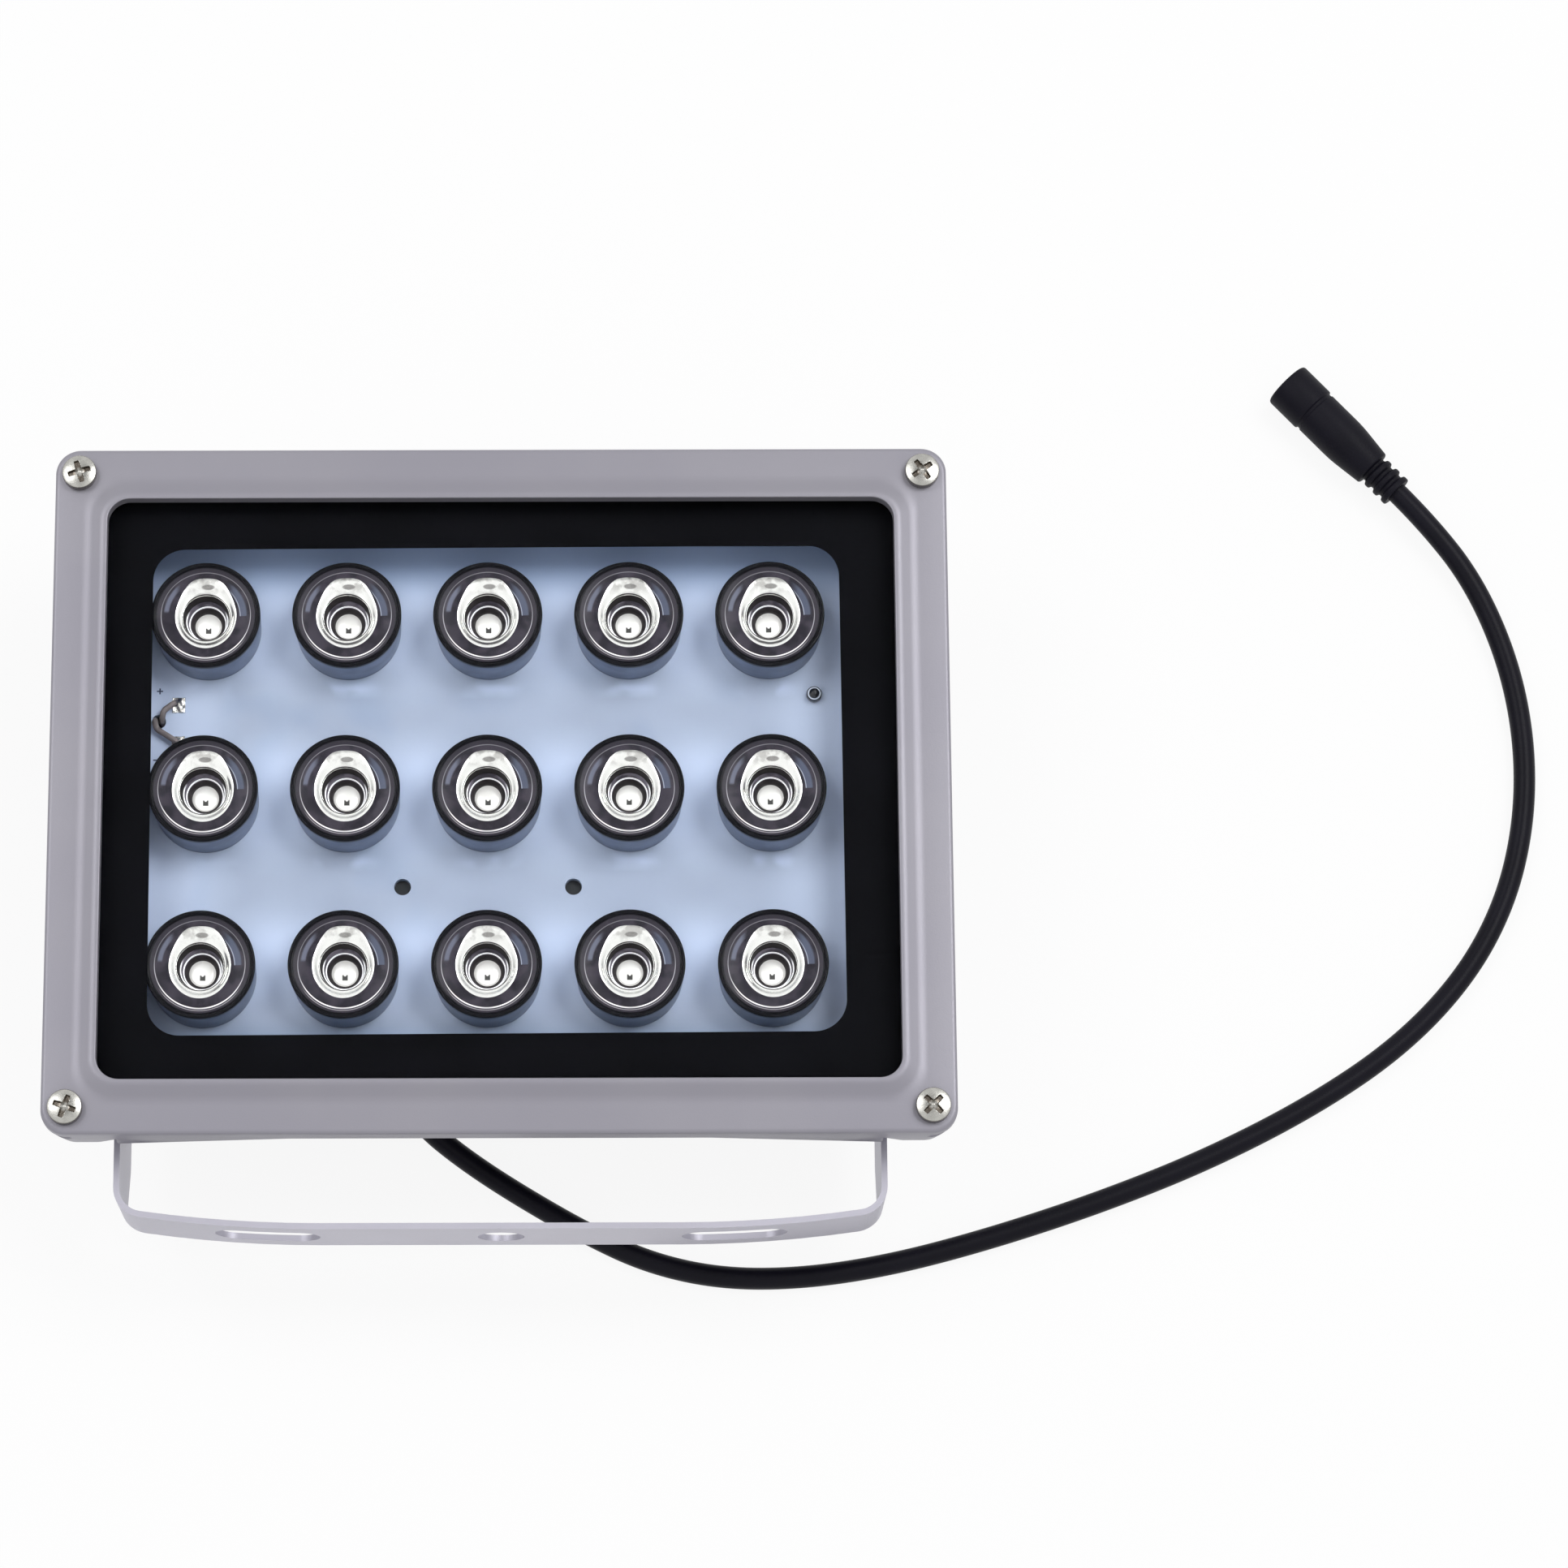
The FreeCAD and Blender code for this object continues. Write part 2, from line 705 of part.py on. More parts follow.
def wire_groove():
    """Groove behind the circuit board, and the hole that leads to it from the driver compartment."""
    half = cable_groove_width / 2
    groove = block((wire_hole_x - half, wire_hole_y - half, plate_front - cable_groove_depth),
                   (wire_feed_x + half, wire_hole_y + half, plate_front + overshoot))
    feed = drum(cable_groove_width, Vector(wire_feed_x, wire_hole_y, plate_back - overshoot), ALONG_Z,
                plate_thickness + overshoot)
    return groove.fuse(feed)


def cover_screw_places():
    """Centres of the four screws of the driver cover."""
    x = compartment_length / 2 - cover_screw_inset
    y = compartment_height / 2 - cover_screw_inset
    return [(px, compartment_centre_y + py) for px, py in corner_places(x, y)]


def compartment_cover():
    """Flat cast cover of the driver compartment, its screw heads sunk below the back face."""
    cover = slab(compartment_length, compartment_height, compartment_corner_radius, 0, cover_front,
                 0, compartment_centre_y)
    rim = [edge for edge in cover.Edges if edge.BoundBox.ZMax < 1e-6]
    cover = cover.makeChamfer(cover_edge_chamfer, rim)
    for x, y in cover_screw_places():
        below = Vector(x, y, -overshoot)
        cover = cover.cut(drum(cover_screw_diameter + 2 * screw_play, below, ALONG_Z,
                               cover_front + 2 * overshoot))
        cover = cover.cut(drum(cover_screw_head_diameter + 2 * screw_play, below, ALONG_Z,
                               cover_screw_counterbore_depth + overshoot))
    return cover


def cover_gasket():
    """Flat seal between the driver cover and its compartment."""
    ring = slab(compartment_length, compartment_height, compartment_corner_radius, cover_front,
                compartment_back, 0, compartment_centre_y)
    inner = slab(compartment_length - 2 * compartment_wall, compartment_height - 2 * compartment_wall,
                 compartment_corner_radius - compartment_wall, cover_front - overshoot,
                 compartment_back + overshoot,
                 0, compartment_centre_y)
    for x, y in cover_screw_places():
        inner = inner.cut(drum(cover_boss_diameter, Vector(x, y, 0), ALONG_Z, plate_back))
    ring = ring.cut(inner)
    for x, y in cover_screw_places():
        ring = ring.cut(drum(cover_screw_diameter + 2 * screw_play, Vector(x, y, 0), ALONG_Z, plate_back))
    return ring


def cover_screws():
    """Four screws of the driver cover, their heads towards the back."""
    screws = []
    for (x, y), turn in zip(cover_screw_places(), screw_turns):
        place = (x, y, cover_screw_counterbore_depth)
        body = screw(place, -ALONG_Z, cover_screw_head_diameter, cover_screw_head_height,
                     cover_screw_diameter, cover_screw_length)
        screws.append(body.cut(cross_recess(place, -ALONG_Z, cover_screw_head_height, cover_screw_recess_reach,
                                            cover_screw_recess_depth, turn)))
    return Part.makeCompound(screws)


def circuit_board():
    """Board that carries the emitters, with its two round holes and the hole for the wires."""
    board = slab(board_length, board_height, board_corner_radius, plate_front, board_front)
    for x, y in board_holes:
        board = board.cut(drum(board_hole_diameter, Vector(x, y, 0), ALONG_Z, rim_top))
    return board.cut(drum(wire_hole_diameter, Vector(wire_hole_x, wire_hole_y, 0), ALONG_Z, rim_top))


def emitter(x, y):
    """Round infrared emitter with its clear dome."""
    base = drum(emitter_base_diameter, Vector(x, y, board_front), ALONG_Z, emitter_base_height)
    top = board_front + emitter_base_height
    dome = Part.makeSphere(emitter_dome_radius, Vector(x, y, top), ALONG_Z, 0, 90, 360)
    return base.fuse(dome)


def lens(x, y):
    """Collimating lens: tapered barrel, raised rim, shallow front face and its centre bore."""
    outer = lens_diameter / 2
    rim = outer - lens_rim_width
    bore = lens_bore_diameter / 2
    profile = ((0, bore), (0, lens_foot_diameter / 2), (lens_height, outer), (lens_height, rim),
               (lens_height - lens_face_drop_outer, rim - lens_face_drop_outer / 2),
               (lens_height - lens_face_drop_inner, bore))
    return turned(profile, Vector(x, y, board_front), ALONG_Z)


def lens_places():
    """Centres of the lenses, row by row from the top left."""
    places = []
    for row in range(rows):
        for column in range(columns):
            x = first_column_x + column * pitch_x
            y = array_shift_y + ((rows - 1) / 2 - row) * pitch_y
            places.append((x, y))
    return places


def light_sensor():
    """Small round light cell, domed on top."""
    radius = sensor_diameter / 2
    profile = ((0, 0), (0, radius), (sensor_shoulder_height, radius),
               (sensor_height, sensor_crown_diameter / 2), (sensor_height, 0))
    return turned(profile, Vector(sensor_x, sensor_y, board_front), ALONG_Z)


def solder_pads():
    """Two tinned pads, each with its bead of solder."""
    pieces = []
    for x, y in pads:
        pad = block((x - pad_length / 2, y - pad_height / 2, board_front),
                    (x + pad_length / 2, y + pad_height / 2, board_front + pad_thickness))
        bead = Part.makeCone(solder_foot_diameter / 2, solder_top_diameter / 2, solder_height,
                             Vector(x, y, board_front), ALONG_Z)
        pieces.append(pad.fuse(bead))
    return Part.makeCompound(pieces)


def feed_wire(pad, end, side):
    """Insulated wire from the driver board through the groove and the board's hole to a pad.

    The wires lie one over the other in the groove, and side by side in the hole.
    """
    radius = wire_diameter / 2
    spacing = wire_diameter + wire_gap
    lane_x = wire_feed_x + side * spacing / 2
    rise_x = wire_hole_x + side * wire_rise_offset
    low_lane = plate_front - cable_groove_depth + wire_floor_gap + radius
    groove_level = low_lane + max(side, 0) * spacing
    pad_level = board_front + solder_height + radius
    route = (
        (lane_x, wire_hole_y, driver_front),
        (lane_x, wire_hole_y, groove_level),
        (rise_x, wire_hole_y, groove_level),
        (rise_x, wire_hole_y, pad_level),
        (rise_x + wire_lean, wire_hole_y + side * wire_upright_run, pad_level),
        (pad[0] + end[0], pad[1] + end[1], pad_level),
    )
    return tube(route, wire_diameter, wire_bend_radius)[0]


def driver_board():
    """Driver board on its two posts, with its control chip."""
    board = slab(driver_length, driver_height, driver_corner_radius, driver_back, driver_front,
                 0, compartment_centre_y)
    for x, y in driver_posts():
        board = board.cut(drum(driver_screw_diameter + 2 * screw_play, Vector(x, y, 0), ALONG_Z, plate_back))
    chip_y = compartment_centre_y + chip_offset_y
    chip = block((chip_offset_x - chip_length / 2, chip_y - chip_height / 2, driver_back - chip_thickness),
                 (chip_offset_x + chip_length / 2, chip_y + chip_height / 2, driver_back))
    return board.fuse(chip)


def driver_screws():
    """Two screws that hold the driver board on its posts."""
    return Part.makeCompound([screw((x, y, driver_back), -ALONG_Z, driver_screw_head_diameter,
                                    driver_screw_head_height, driver_screw_diameter, driver_screw_length)
                              for x, y in driver_posts()])


def inductor():
    """Drum-core coil of the driver."""
    half = inductor_diameter / 2
    waist = inductor_winding_diameter / 2
    upper = inductor_height - inductor_flange_thickness
    profile = ((0, 0), (0, half), (inductor_flange_thickness, half), (inductor_flange_thickness, waist),
               (upper, waist), (upper, half), (inductor_height, half), (inductor_height, 0))
    base = Vector(inductor_offset_x, compartment_centre_y + inductor_offset_y, driver_back)
    return turned(profile, base, -ALONG_Z)


def capacitor():
    """Upright electrolytic capacitor of the driver."""
    half = capacitor_diameter / 2
    middle = capacitor_groove_start + capacitor_groove_width / 2
    profile = ((0, 0), (0, half), (capacitor_groove_start, half), (middle, half - capacitor_groove_depth),
               (capacitor_groove_start + capacitor_groove_width, half), (capacitor_length - capacitor_edge, half),
               (capacitor_length, half - capacitor_edge), (capacitor_length, 0))
    base = Vector(capacitor_offset_x, compartment_centre_y + capacitor_offset_y, driver_back)
    return turned(profile, base, -ALONG_Z)


def gland_body():
    """Hexagonal gland body, screwed into the compartment wall."""
    wall_face = Vector(gland_x, compartment_bottom, gland_z)
    body = hexagon(gland_hex, wall_face, -ALONG_Y, gland_hex_length)
    body = body.fuse(drum(gland_thread_diameter, wall_face, ALONG_Y, compartment_wall))
    stub_start = wall_face - ALONG_Y * gland_hex_length
    body = body.fuse(drum(gland_thread_diameter, stub_start, -ALONG_Y, gland_thread_length))
    bore = drum(gland_thread_diameter - 2 * gland_wall, wall_face + ALONG_Y * (compartment_wall + overshoot),
                -ALONG_Y, compartment_wall + gland_hex_length + gland_thread_length + 2 * overshoot)
    return body.cut(bore)


def gland_nut():
    """Domed clamping nut of the gland, with flats at its root."""
    start = Vector(gland_x, compartment_bottom - gland_hex_length, gland_z)
    half = gland_nut_diameter / 2
    mouth = gland_nut_mouth_diameter / 2
    thread = gland_thread_diameter / 2 + gland_fit
    dome = (gland_nut_shoulder + gland_nut_length) / 2
    bulge = (half + mouth + gland_nut_lip) / 2 + gland_nut_lip
    profile = ((0, thread), (0, half), (gland_nut_shoulder, half), (dome, bulge),
               (gland_nut_length, mouth + gland_nut_lip), (gland_nut_length, mouth),
               (gland_thread_length + gland_clamp_taper, mouth), (gland_thread_length, thread))
    return turned(profile, start, -ALONG_Y)


def gland_seal():
    """Rubber grip of the gland, ending in a tapered tail around the cord."""
    bore = cord_diameter / 2 + grip_play
    mouth = gland_nut_mouth_diameter / 2 - gland_fit
    inner = gland_thread_diameter / 2 - gland_wall - gland_fit
    reach = gland_nut_length + gland_tail_length
    inside = gland_thread_length - gland_clamp_taper
    grip = reach - gland_grip_depth
    profile = ((0, 0), (0, inner), (inside, inner), (gland_thread_length + gland_clamp_taper, mouth),
               (gland_nut_length, mouth), (reach, gland_tail_diameter / 2), (reach, bore), (grip, bore),
               (grip, 0))
    return turned(profile, Vector(gland_x, compartment_bottom - gland_hex_length, gland_z), -ALONG_Y)


def connector_frame():
    """Rear centre of the connector and the direction in which it points, that of the cord's end."""
    end = Vector(*cord_route[-1])
    return end, (end - Vector(*cord_route[-2])).normalize()


def dc_connector():
    """Moulded connector shell with strain-relief ribs and an open mouth."""
    base, axis = connector_frame()
    profile = [(0, 0)]
    along = 0.0
    for _ in range(connector_rib_count):
        profile.append((along, connector_rib_diameter / 2))
        profile.append((along + connector_rib_width, connector_rib_diameter / 2))
        profile.append((along + connector_rib_width, connector_groove_diameter / 2))
        along += connector_rib_pitch
        profile.append((along, connector_groove_diameter / 2))
    barrel_start = connector_length - connector_barrel_length
    neck_start = barrel_start - connector_neck_length
    taper_end = along + connector_taper_length
    socket = socket_bore_diameter / 2 + socket_sleeve_wall
    profile += [
        (along, connector_taper_diameter / 2), (taper_end, connector_body_diameter / 2),
        (neck_start, connector_body_diameter / 2), (neck_start, connector_neck_diameter / 2),
        (barrel_start, connector_neck_diameter / 2), (barrel_start, connector_barrel_diameter / 2),
        (connector_length - connector_edge, connector_barrel_diameter / 2),
        (connector_length, connector_barrel_diameter / 2 - connector_edge),
        (connector_length, socket), (connector_length - connector_socket_depth, socket),
        (connector_length - connector_socket_depth, 0),
    ]
    return turned(profile, base, axis)


def dc_sleeve():
    """Plated outer contact of the socket."""
    base, axis = connector_frame()
    start = connector_length - connector_socket_depth
    end = connector_length - socket_inset
    bore = socket_bore_diameter / 2
    profile = ((start, bore), (start, bore + socket_sleeve_wall), (end, bore + socket_sleeve_wall), (end, bore))
    return turned(profile, base, axis)


def dc_pin():
    """Centre pin of the socket, round at its tip."""
    base, axis = connector_frame()
    start = connector_length - connector_socket_depth
    half = socket_pin_diameter / 2
    end = start + socket_pin_length
    profile = ((start, 0), (start, half), (end - socket_pin_point, half), (end, half - socket_pin_point),
               (end, 0))
    return turned(profile, base, axis)


def strap_plan(inset, end_y):
    """Closed plan within one face of the strap: arms, tight corners and a slightly bowed crossbar."""
    level = arm_front - bracket_arm_width
    corner_radius = bracket_corner_radius - inset
    bow_radius = crossbar_bow_radius - inset
    bow_centre = Vector(crossbar_flat_half, crossbar_bow_radius - bracket_reach, level)
    corner_x = arm_outer_x - bracket_corner_radius
    gap = crossbar_bow_radius - bracket_corner_radius
    corner_y = bow_centre.y - math.sqrt(gap ** 2 - (corner_x - crossbar_flat_half) ** 2)
    corner_centre = Vector(corner_x, corner_y, level)
    away = (corner_centre - bow_centre).normalize()
    half_way = math.atan2(away.x, -away.y) / 2
    side = [
        Vector(corner_x + corner_radius, end_y, level),
        Vector(corner_x + corner_radius, corner_y, level),
        corner_centre + (away + ALONG_X).normalize() * corner_radius,
        corner_centre + away * corner_radius,
        bow_centre + Vector(math.sin(half_way), -math.cos(half_way), 0) * bow_radius,
        Vector(crossbar_flat_half, inset - bracket_reach, level),
    ]
    other = [Vector(-point.x, point.y, point.z) for point in side]
    edges = []
    for end, arm, bend, tangent, bow, flat in (side, other):
        edges.append(Part.LineSegment(end, arm).toShape())
        edges.append(Part.Arc(arm, bend, tangent).toShape())
        edges.append(Part.Arc(tangent, bow, flat).toShape())
    edges.append(Part.LineSegment(side[-1], other[-1]).toShape())
    edges.append(Part.LineSegment(side[0], other[0]).toShape())
    return Part.Face(Part.Wire(Part.sortEdges(edges)[0]))


def arm_side_profile():
    """Side view of the bracket: round ends at the pivots, wide arms and the narrower crossbar."""
    half = bracket_arm_width / 2
    start_x = -2 * arm_outer_x
    low = pivot_level - half
    crossbar_low = arm_front - strap_width
    far_y = -2 * bracket_reach
    points = [(0, arm_front), (far_y, arm_front), (far_y, crossbar_low), (bracket_shoulder_y, crossbar_low),
              (bracket_shoulder_y + bracket_shoulder_length, low), (0, low)]
    path = Part.makePolygon([Vector(start_x, y, z) for y, z in points])
    round_end = Part.Arc(Vector(start_x, 0, low), Vector(start_x, half, pivot_level),
                         Vector(start_x, 0, arm_front))
    profile = Part.Face(Part.Wire(path.Edges + [round_end.toShape()]))
    arms = profile.extrude(ALONG_X * 4 * arm_outer_x)
    shoulder = [edge for edge in arms.Edges if edge.BoundBox.XLength > arm_outer_x
                and far_y < edge.CenterOfMass.y < -half and edge.CenterOfMass.z < crossbar_low + 1]
    return arms.makeFillet(bracket_shoulder_radius, shoulder)


def slot_cutter(x):
    """Stadium-shaped cutter through the crossbar, long side along X."""
    half = slot_width / 2
    centre = slot_length / 2 - half
    y = -bracket_reach - cutter_length / 2
    pieces = [block((x - centre, y, crossbar_level - half),
                    (x + centre, y + cutter_length, crossbar_level + half))]
    for end in (x - centre, x + centre):
        pieces.append(drum(slot_width, Vector(end, y, crossbar_level), ALONG_Y, cutter_length))
    return joined(pieces)


def bracket():
    """U-shaped steel strap that swings on the two pivots."""
    end_y = bracket_arm_width
    strap = strap_plan(0, end_y).extrude(ALONG_Z * bracket_arm_width)
    strap = strap.cut(strap_plan(strap_thickness, 2 * end_y).extrude(ALONG_Z * bracket_arm_width))
    strap = strap.common(arm_side_profile())
    cuts = [slot_cutter(-slot_offset), slot_cutter(slot_offset),
            drum(centre_hole_diameter, Vector(0, -bracket_reach - cutter_length / 2, crossbar_level), ALONG_Y,
                 cutter_length)]
    for side in (-1, 1):
        cuts.append(drum(pivot_diameter + 2 * pivot_play,
                         Vector(side * (arm_inner_x - cutter_length / 2), 0, pivot_level),
                         ALONG_X * side, cutter_length))
    return strap.cut(cuts)


def ring_at(side, start, thickness, outer, bore):
    """Washer on a pivot, standing off from the panel's centre plane on one side."""
    base = Vector(side * start, 0, pivot_level)
    profile = ((0, bore / 2), (0, outer / 2), (thickness, outer / 2), (thickness, bore / 2))
    return turned(profile, base, ALONG_X * side)


def friction_washers():
    """Nylon washers between the lugs and the bracket arms."""
    bore = pivot_diameter + 2 * pivot_play
    return Part.makeCompound([ring_at(side, lug_face_x, friction_washer_thickness, friction_washer_diameter, bore)
                              for side in (-1, 1)])


def flat_washers():
    """Steel washers outside the bracket arms."""
    bore = pivot_diameter + 2 * pivot_play
    return Part.makeCompound([ring_at(side, arm_outer_x, flat_washer_thickness, flat_washer_diameter, bore)
                              for side in (-1, 1)])


def spring_washers():
    """Split spring washers under the bolt heads."""
    start = arm_outer_x + flat_washer_thickness
    bore = pivot_diameter + 2 * pivot_play
    rings = []
    for side in (-1, 1):
        ring = ring_at(side, start, spring_washer_thickness, spring_washer_diameter, bore)
        split = block((-start - cutter_length, 0, pivot_level - spring_washer_split / 2),
                      (start + cutter_length, spring_washer_diameter, pivot_level + spring_washer_split / 2))
        rings.append(ring.cut(split))
    return Part.makeCompound(rings)


def pivot_bolts():
    """Hexagon bolts that clamp the bracket arms to the lugs."""
    head_start = arm_outer_x + flat_washer_thickness + spring_washer_thickness
    shank = head_start - lug_face_x + pivot_thread_length
    bolts = []
    for side in (-1, 1):
        under_head = Vector(side * head_start, 0, pivot_level)
        head = hexagon(pivot_head_across, under_head, ALONG_X * side, pivot_head_height)
        bolts.append(head.fuse(drum(pivot_diameter, under_head, ALONG_X * -side, shank)))
    return Part.makeCompound(bolts)


def build_parts():
    """Every node's shape by its name."""
    cord, cord_length, cord_radii = tube(cord_route, cord_diameter)
    section = math.pi * cord_diameter ** 2 / 4
    print("cord length", round(cord_length, 1), "volume ratio", round(cord.Volume / (section * cord_length), 4))
    print("cord radii", [round(radius, 1) for radius in cord_radii])
    parts = {
        "rear_housing": rear_housing(),
        "front_bezel": front_bezel(),
        "bezel_screws": bezel_screws(),
        "glass_pane": glass_pane(),
        "glass_border": glass_border(),
        "glass_gasket": glass_gasket(),
        "circuit_board": circuit_board(),
        "light_sensor": light_sensor(),
        "solder_pads": solder_pads(),
        "wire_positive": feed_wire(pads[0], positive_end, 1),
        "wire_negative": feed_wire(pads[1], negative_end, -1),
        "driver_board": driver_board(),
        "driver_screws": driver_screws(),
        "inductor": inductor(),
        "capacitor": capacitor(),
        "compartment_cover": compartment_cover(),
        "cover_gasket": cover_gasket(),
        "cover_screws": cover_screws(),
        "gland_body": gland_body(),
        "gland_nut": gland_nut(),
        "gland_seal": gland_seal(),
        "power_cord": cord,
        "dc_connector": dc_connector(),
        "dc_sleeve": dc_sleeve(),
        "dc_pin": dc_pin(),
        "bracket": bracket(),
        "pivot_bolts": pivot_bolts(),
        "flat_washers": flat_washers(),
        "spring_washers": spring_washers(),
        "friction_washers": friction_washers(),
    }
    for number, (x, y) in enumerate(lens_places(), start=1):
        parts[f"emitter_{number:02d}"] = emitter(x, y)
        parts[f"lens_{number:02d}"] = lens(x, y)
    return parts


os.makedirs("parts", exist_ok=True)
for node, shape in build_parts().items():
    shape.exportStep(f"parts/{node}.step")
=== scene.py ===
"""Infrared illuminator: the dressed model, laid out as an add-on.

Every length is in metres in the frame of the solids: X along the long side of the panel, Y towards
its top edge and Z out of the glass, with Z = 0 on the face on which the lamp lies.
"""

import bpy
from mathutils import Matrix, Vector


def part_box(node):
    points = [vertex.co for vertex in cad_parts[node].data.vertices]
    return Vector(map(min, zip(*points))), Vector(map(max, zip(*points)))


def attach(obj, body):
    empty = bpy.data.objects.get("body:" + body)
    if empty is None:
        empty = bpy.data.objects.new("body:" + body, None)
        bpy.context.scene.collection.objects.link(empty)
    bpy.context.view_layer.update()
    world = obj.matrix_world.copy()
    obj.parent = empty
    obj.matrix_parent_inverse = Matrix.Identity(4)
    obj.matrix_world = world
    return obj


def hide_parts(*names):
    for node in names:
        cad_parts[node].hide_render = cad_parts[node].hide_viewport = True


bl_info = {
    "name": "Infrared illuminator",
    "version": (1, 0, 0),
    "blender": (4, 5, 0),
    "location": "3D View > Sidebar > Illuminator",
    "description": "Builds the visible pieces of a fifteen-emitter infrared illuminator",
    "category": "Add Mesh",
}

import math

import bmesh
import bpy
import numpy as np
from bpy.props import FloatProperty, FloatVectorProperty, IntProperty, PointerProperty
from mathutils import Matrix, Vector

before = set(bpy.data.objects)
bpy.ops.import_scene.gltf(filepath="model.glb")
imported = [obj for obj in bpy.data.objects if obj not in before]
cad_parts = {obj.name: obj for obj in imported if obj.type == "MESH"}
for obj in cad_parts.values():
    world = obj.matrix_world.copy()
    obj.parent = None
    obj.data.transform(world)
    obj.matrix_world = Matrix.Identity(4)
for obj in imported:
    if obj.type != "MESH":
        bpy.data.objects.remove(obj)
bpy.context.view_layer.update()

mm = 0.001
LENSES = [f"lens_{number:02d}" for number in range(1, 16)]
EMITTERS = [f"emitter_{number:02d}" for number in range(1, 16)]


def corners_of(node):
    """Lowest and highest corner of a solid, as arrays."""
    return np.array(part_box(node))


BEZEL_LOW, BEZEL_HIGH = corners_of("front_bezel")
GLASS_LOW, GLASS_HIGH = corners_of("glass_pane")
BORDER_LOW = corners_of("glass_border")[0]
BOARD_LOW, BOARD_HIGH = corners_of("circuit_board")
LENS_BOXES = np.array([corners_of(name) for name in LENSES])
LENS_PLACES = LENS_BOXES.mean(axis=1) * (1, 1, 0) + (0, 0, BOARD_HIGH[2])


def shade(red, green, blue):
    """Linear colour of a screen colour given as three numbers up to 255, by the screen's curve."""
    screen = np.array((red, green, blue)) / 255.0
    linear = np.where(screen <= 0.04045, screen / 12.92, ((screen + 0.055) / 1.055) ** 2.4)
    return tuple(float(part) for part in linear)


def length_value(words, size):
    """A length that the panel shows, given in millimetres."""
    return FloatProperty(description=words, default=size * mm, min=0.0, max=0.5, precision=5,
                         unit="LENGTH", subtype="DISTANCE")


def colour_value(words, *screen):
    """A colour that the panel shows, given as on a screen."""
    return FloatVectorProperty(description=words, default=shade(*screen), min=0.0, max=1.0,
                               size=3, subtype="COLOR")


class IlluminatorSizes(bpy.types.PropertyGroup):
    """Sizes of the visible pieces."""
    bezel_flat: length_value("Width of the bezel's flat outer land", 6.8)
    bezel_slope: length_value("Width of the slope up to the rim", 2.9)
    bezel_rise: length_value("Height of the rim over the flat land", 1.3)
    bezel_corner: length_value("Radius of the bezel's outer corners", 5.0)
    bezel_edge: length_value("Rounding of the bezel's outer edge", 0.9)
    foot_corner: length_value("Corner radius at the foot of the slope", 7.4)
    opening_corner: length_value("Corner radius of the opening", 4.5)
    lip_depth: length_value("Height of the lip over the glass", 2.8)
    window_corner: length_value("Corner radius of the clear window", 6.5)
    screw_head: length_value("Diameter of the bezel screw heads", 6.9)
    screw_recess: length_value("Half length of a recess arm", 2.3)
    reflector_side: length_value("Half width of the bright reflector", 6.2)
    reflector_top: length_value("How far the reflector's shoulders reach out", 2.3)
    reflector_crown: length_value("Height of the reflector's flat top", 8.1)
    bore: length_value("Radius of the bore in a lens", 4.75)
    dome: length_value("Radius of the bright dome under a bore", 2.45)
    cord: length_value("Diameter of the cord", 4.5)
    nut_ribs: IntProperty(description="Grip ribs round the gland nut", default=20, min=6, max=40)


class IlluminatorColours(bpy.types.PropertyGroup):
    """Colours of the visible pieces and of the stage."""
    paint: colour_value("Silver-grey enamel of casing and bezel", 151, 149, 158)
    paint_shade: colour_value("Slightly deeper patches of the enamel", 147, 145, 155)
    strap: colour_value("Powder coat of the bracket", 192, 190, 202)
    border: colour_value("Black print behind the glass", 6, 6, 9)
    board: colour_value("Lit solder mask of the board", 148, 159, 180)
    # deeper patches of the board, and the painted shade along its lower edge
    board_patches_and_shade: colour_value("Deeper patches of the board", 125, 148, 181)
    barrel: colour_value("Side of the lenses", 104, 116, 140)
    lens_dark: colour_value("Dark bands of the lens face", 50, 47, 54)
    lens_rim: colour_value("Near-black rim of the lenses", 11, 11, 16)
    reflector: colour_value("Bright ring of the lenses", 252, 251, 247)
    screw: colour_value("Nickel of the screw heads", 184, 183, 178)
    wire: colour_value("Sleeve of the wires", 120, 112, 112)
    cord: colour_value("Satin black of cord and connector", 14, 13, 22)
    floor: colour_value("Pale floor of the stage", 250, 250, 251)


def values_of(context):
    """The sizes and the colours that the panel shows."""
    return context.scene.illuminator_sizes, context.scene.illuminator_colours


# ---------------------------------------------------------------- shapes as arrays

def eased(corners, reaches, steps=5):
    """Softens the corners of an open profile, one array row per corner.

    Each inner corner P becomes the curve (1-t)^2 A + 2t(1-t) P + t^2 B, where A and B lie on the runs
    before and after P at the corner's reach, or at 45% of the run if that is shorter.
    """
    corners = np.asarray(corners, float)
    before, corner, after = corners[:-2], corners[1:-1], corners[2:]
    reach = np.broadcast_to(np.asarray(reaches, float), (len(corner),))[:, None]

    def along_run(other):
        """The points on the runs towards the other corners, at their reach."""
        length = np.linalg.norm(other - corner, axis=1, keepdims=True)
        return corner + (other - corner) / length * np.minimum(reach, 0.45 * length)

    start, end = along_run(before), along_run(after)
    t = np.linspace(0, 1, steps)[None, :, None]
    curve = (1 - t) ** 2 * start[:, None] + 2 * t * (1 - t) * corner[:, None] + t ** 2 * end[:, None]
    return np.vstack([corners[:1], curve.reshape(-1, corners.shape[1]), corners[-1:]])


def eased_loop(corners, reaches, steps=5):
    """Softens every corner of a closed profile, as for an open one whose ends meet."""
    return eased(np.vstack([corners[-1], corners, corners[0]]), reaches, steps)[1:-1]


def softened(profile, steps=5, closed=False):
    """A profile of (radius, level, reach) rows in millimetres, with its corners eased by their reaches."""
    table = np.array(profile) * mm
    if closed:
        return eased_loop(table[:, :2], table[:, 2], steps)
    return eased(table[:, :2], table[1:-1, 2], steps)


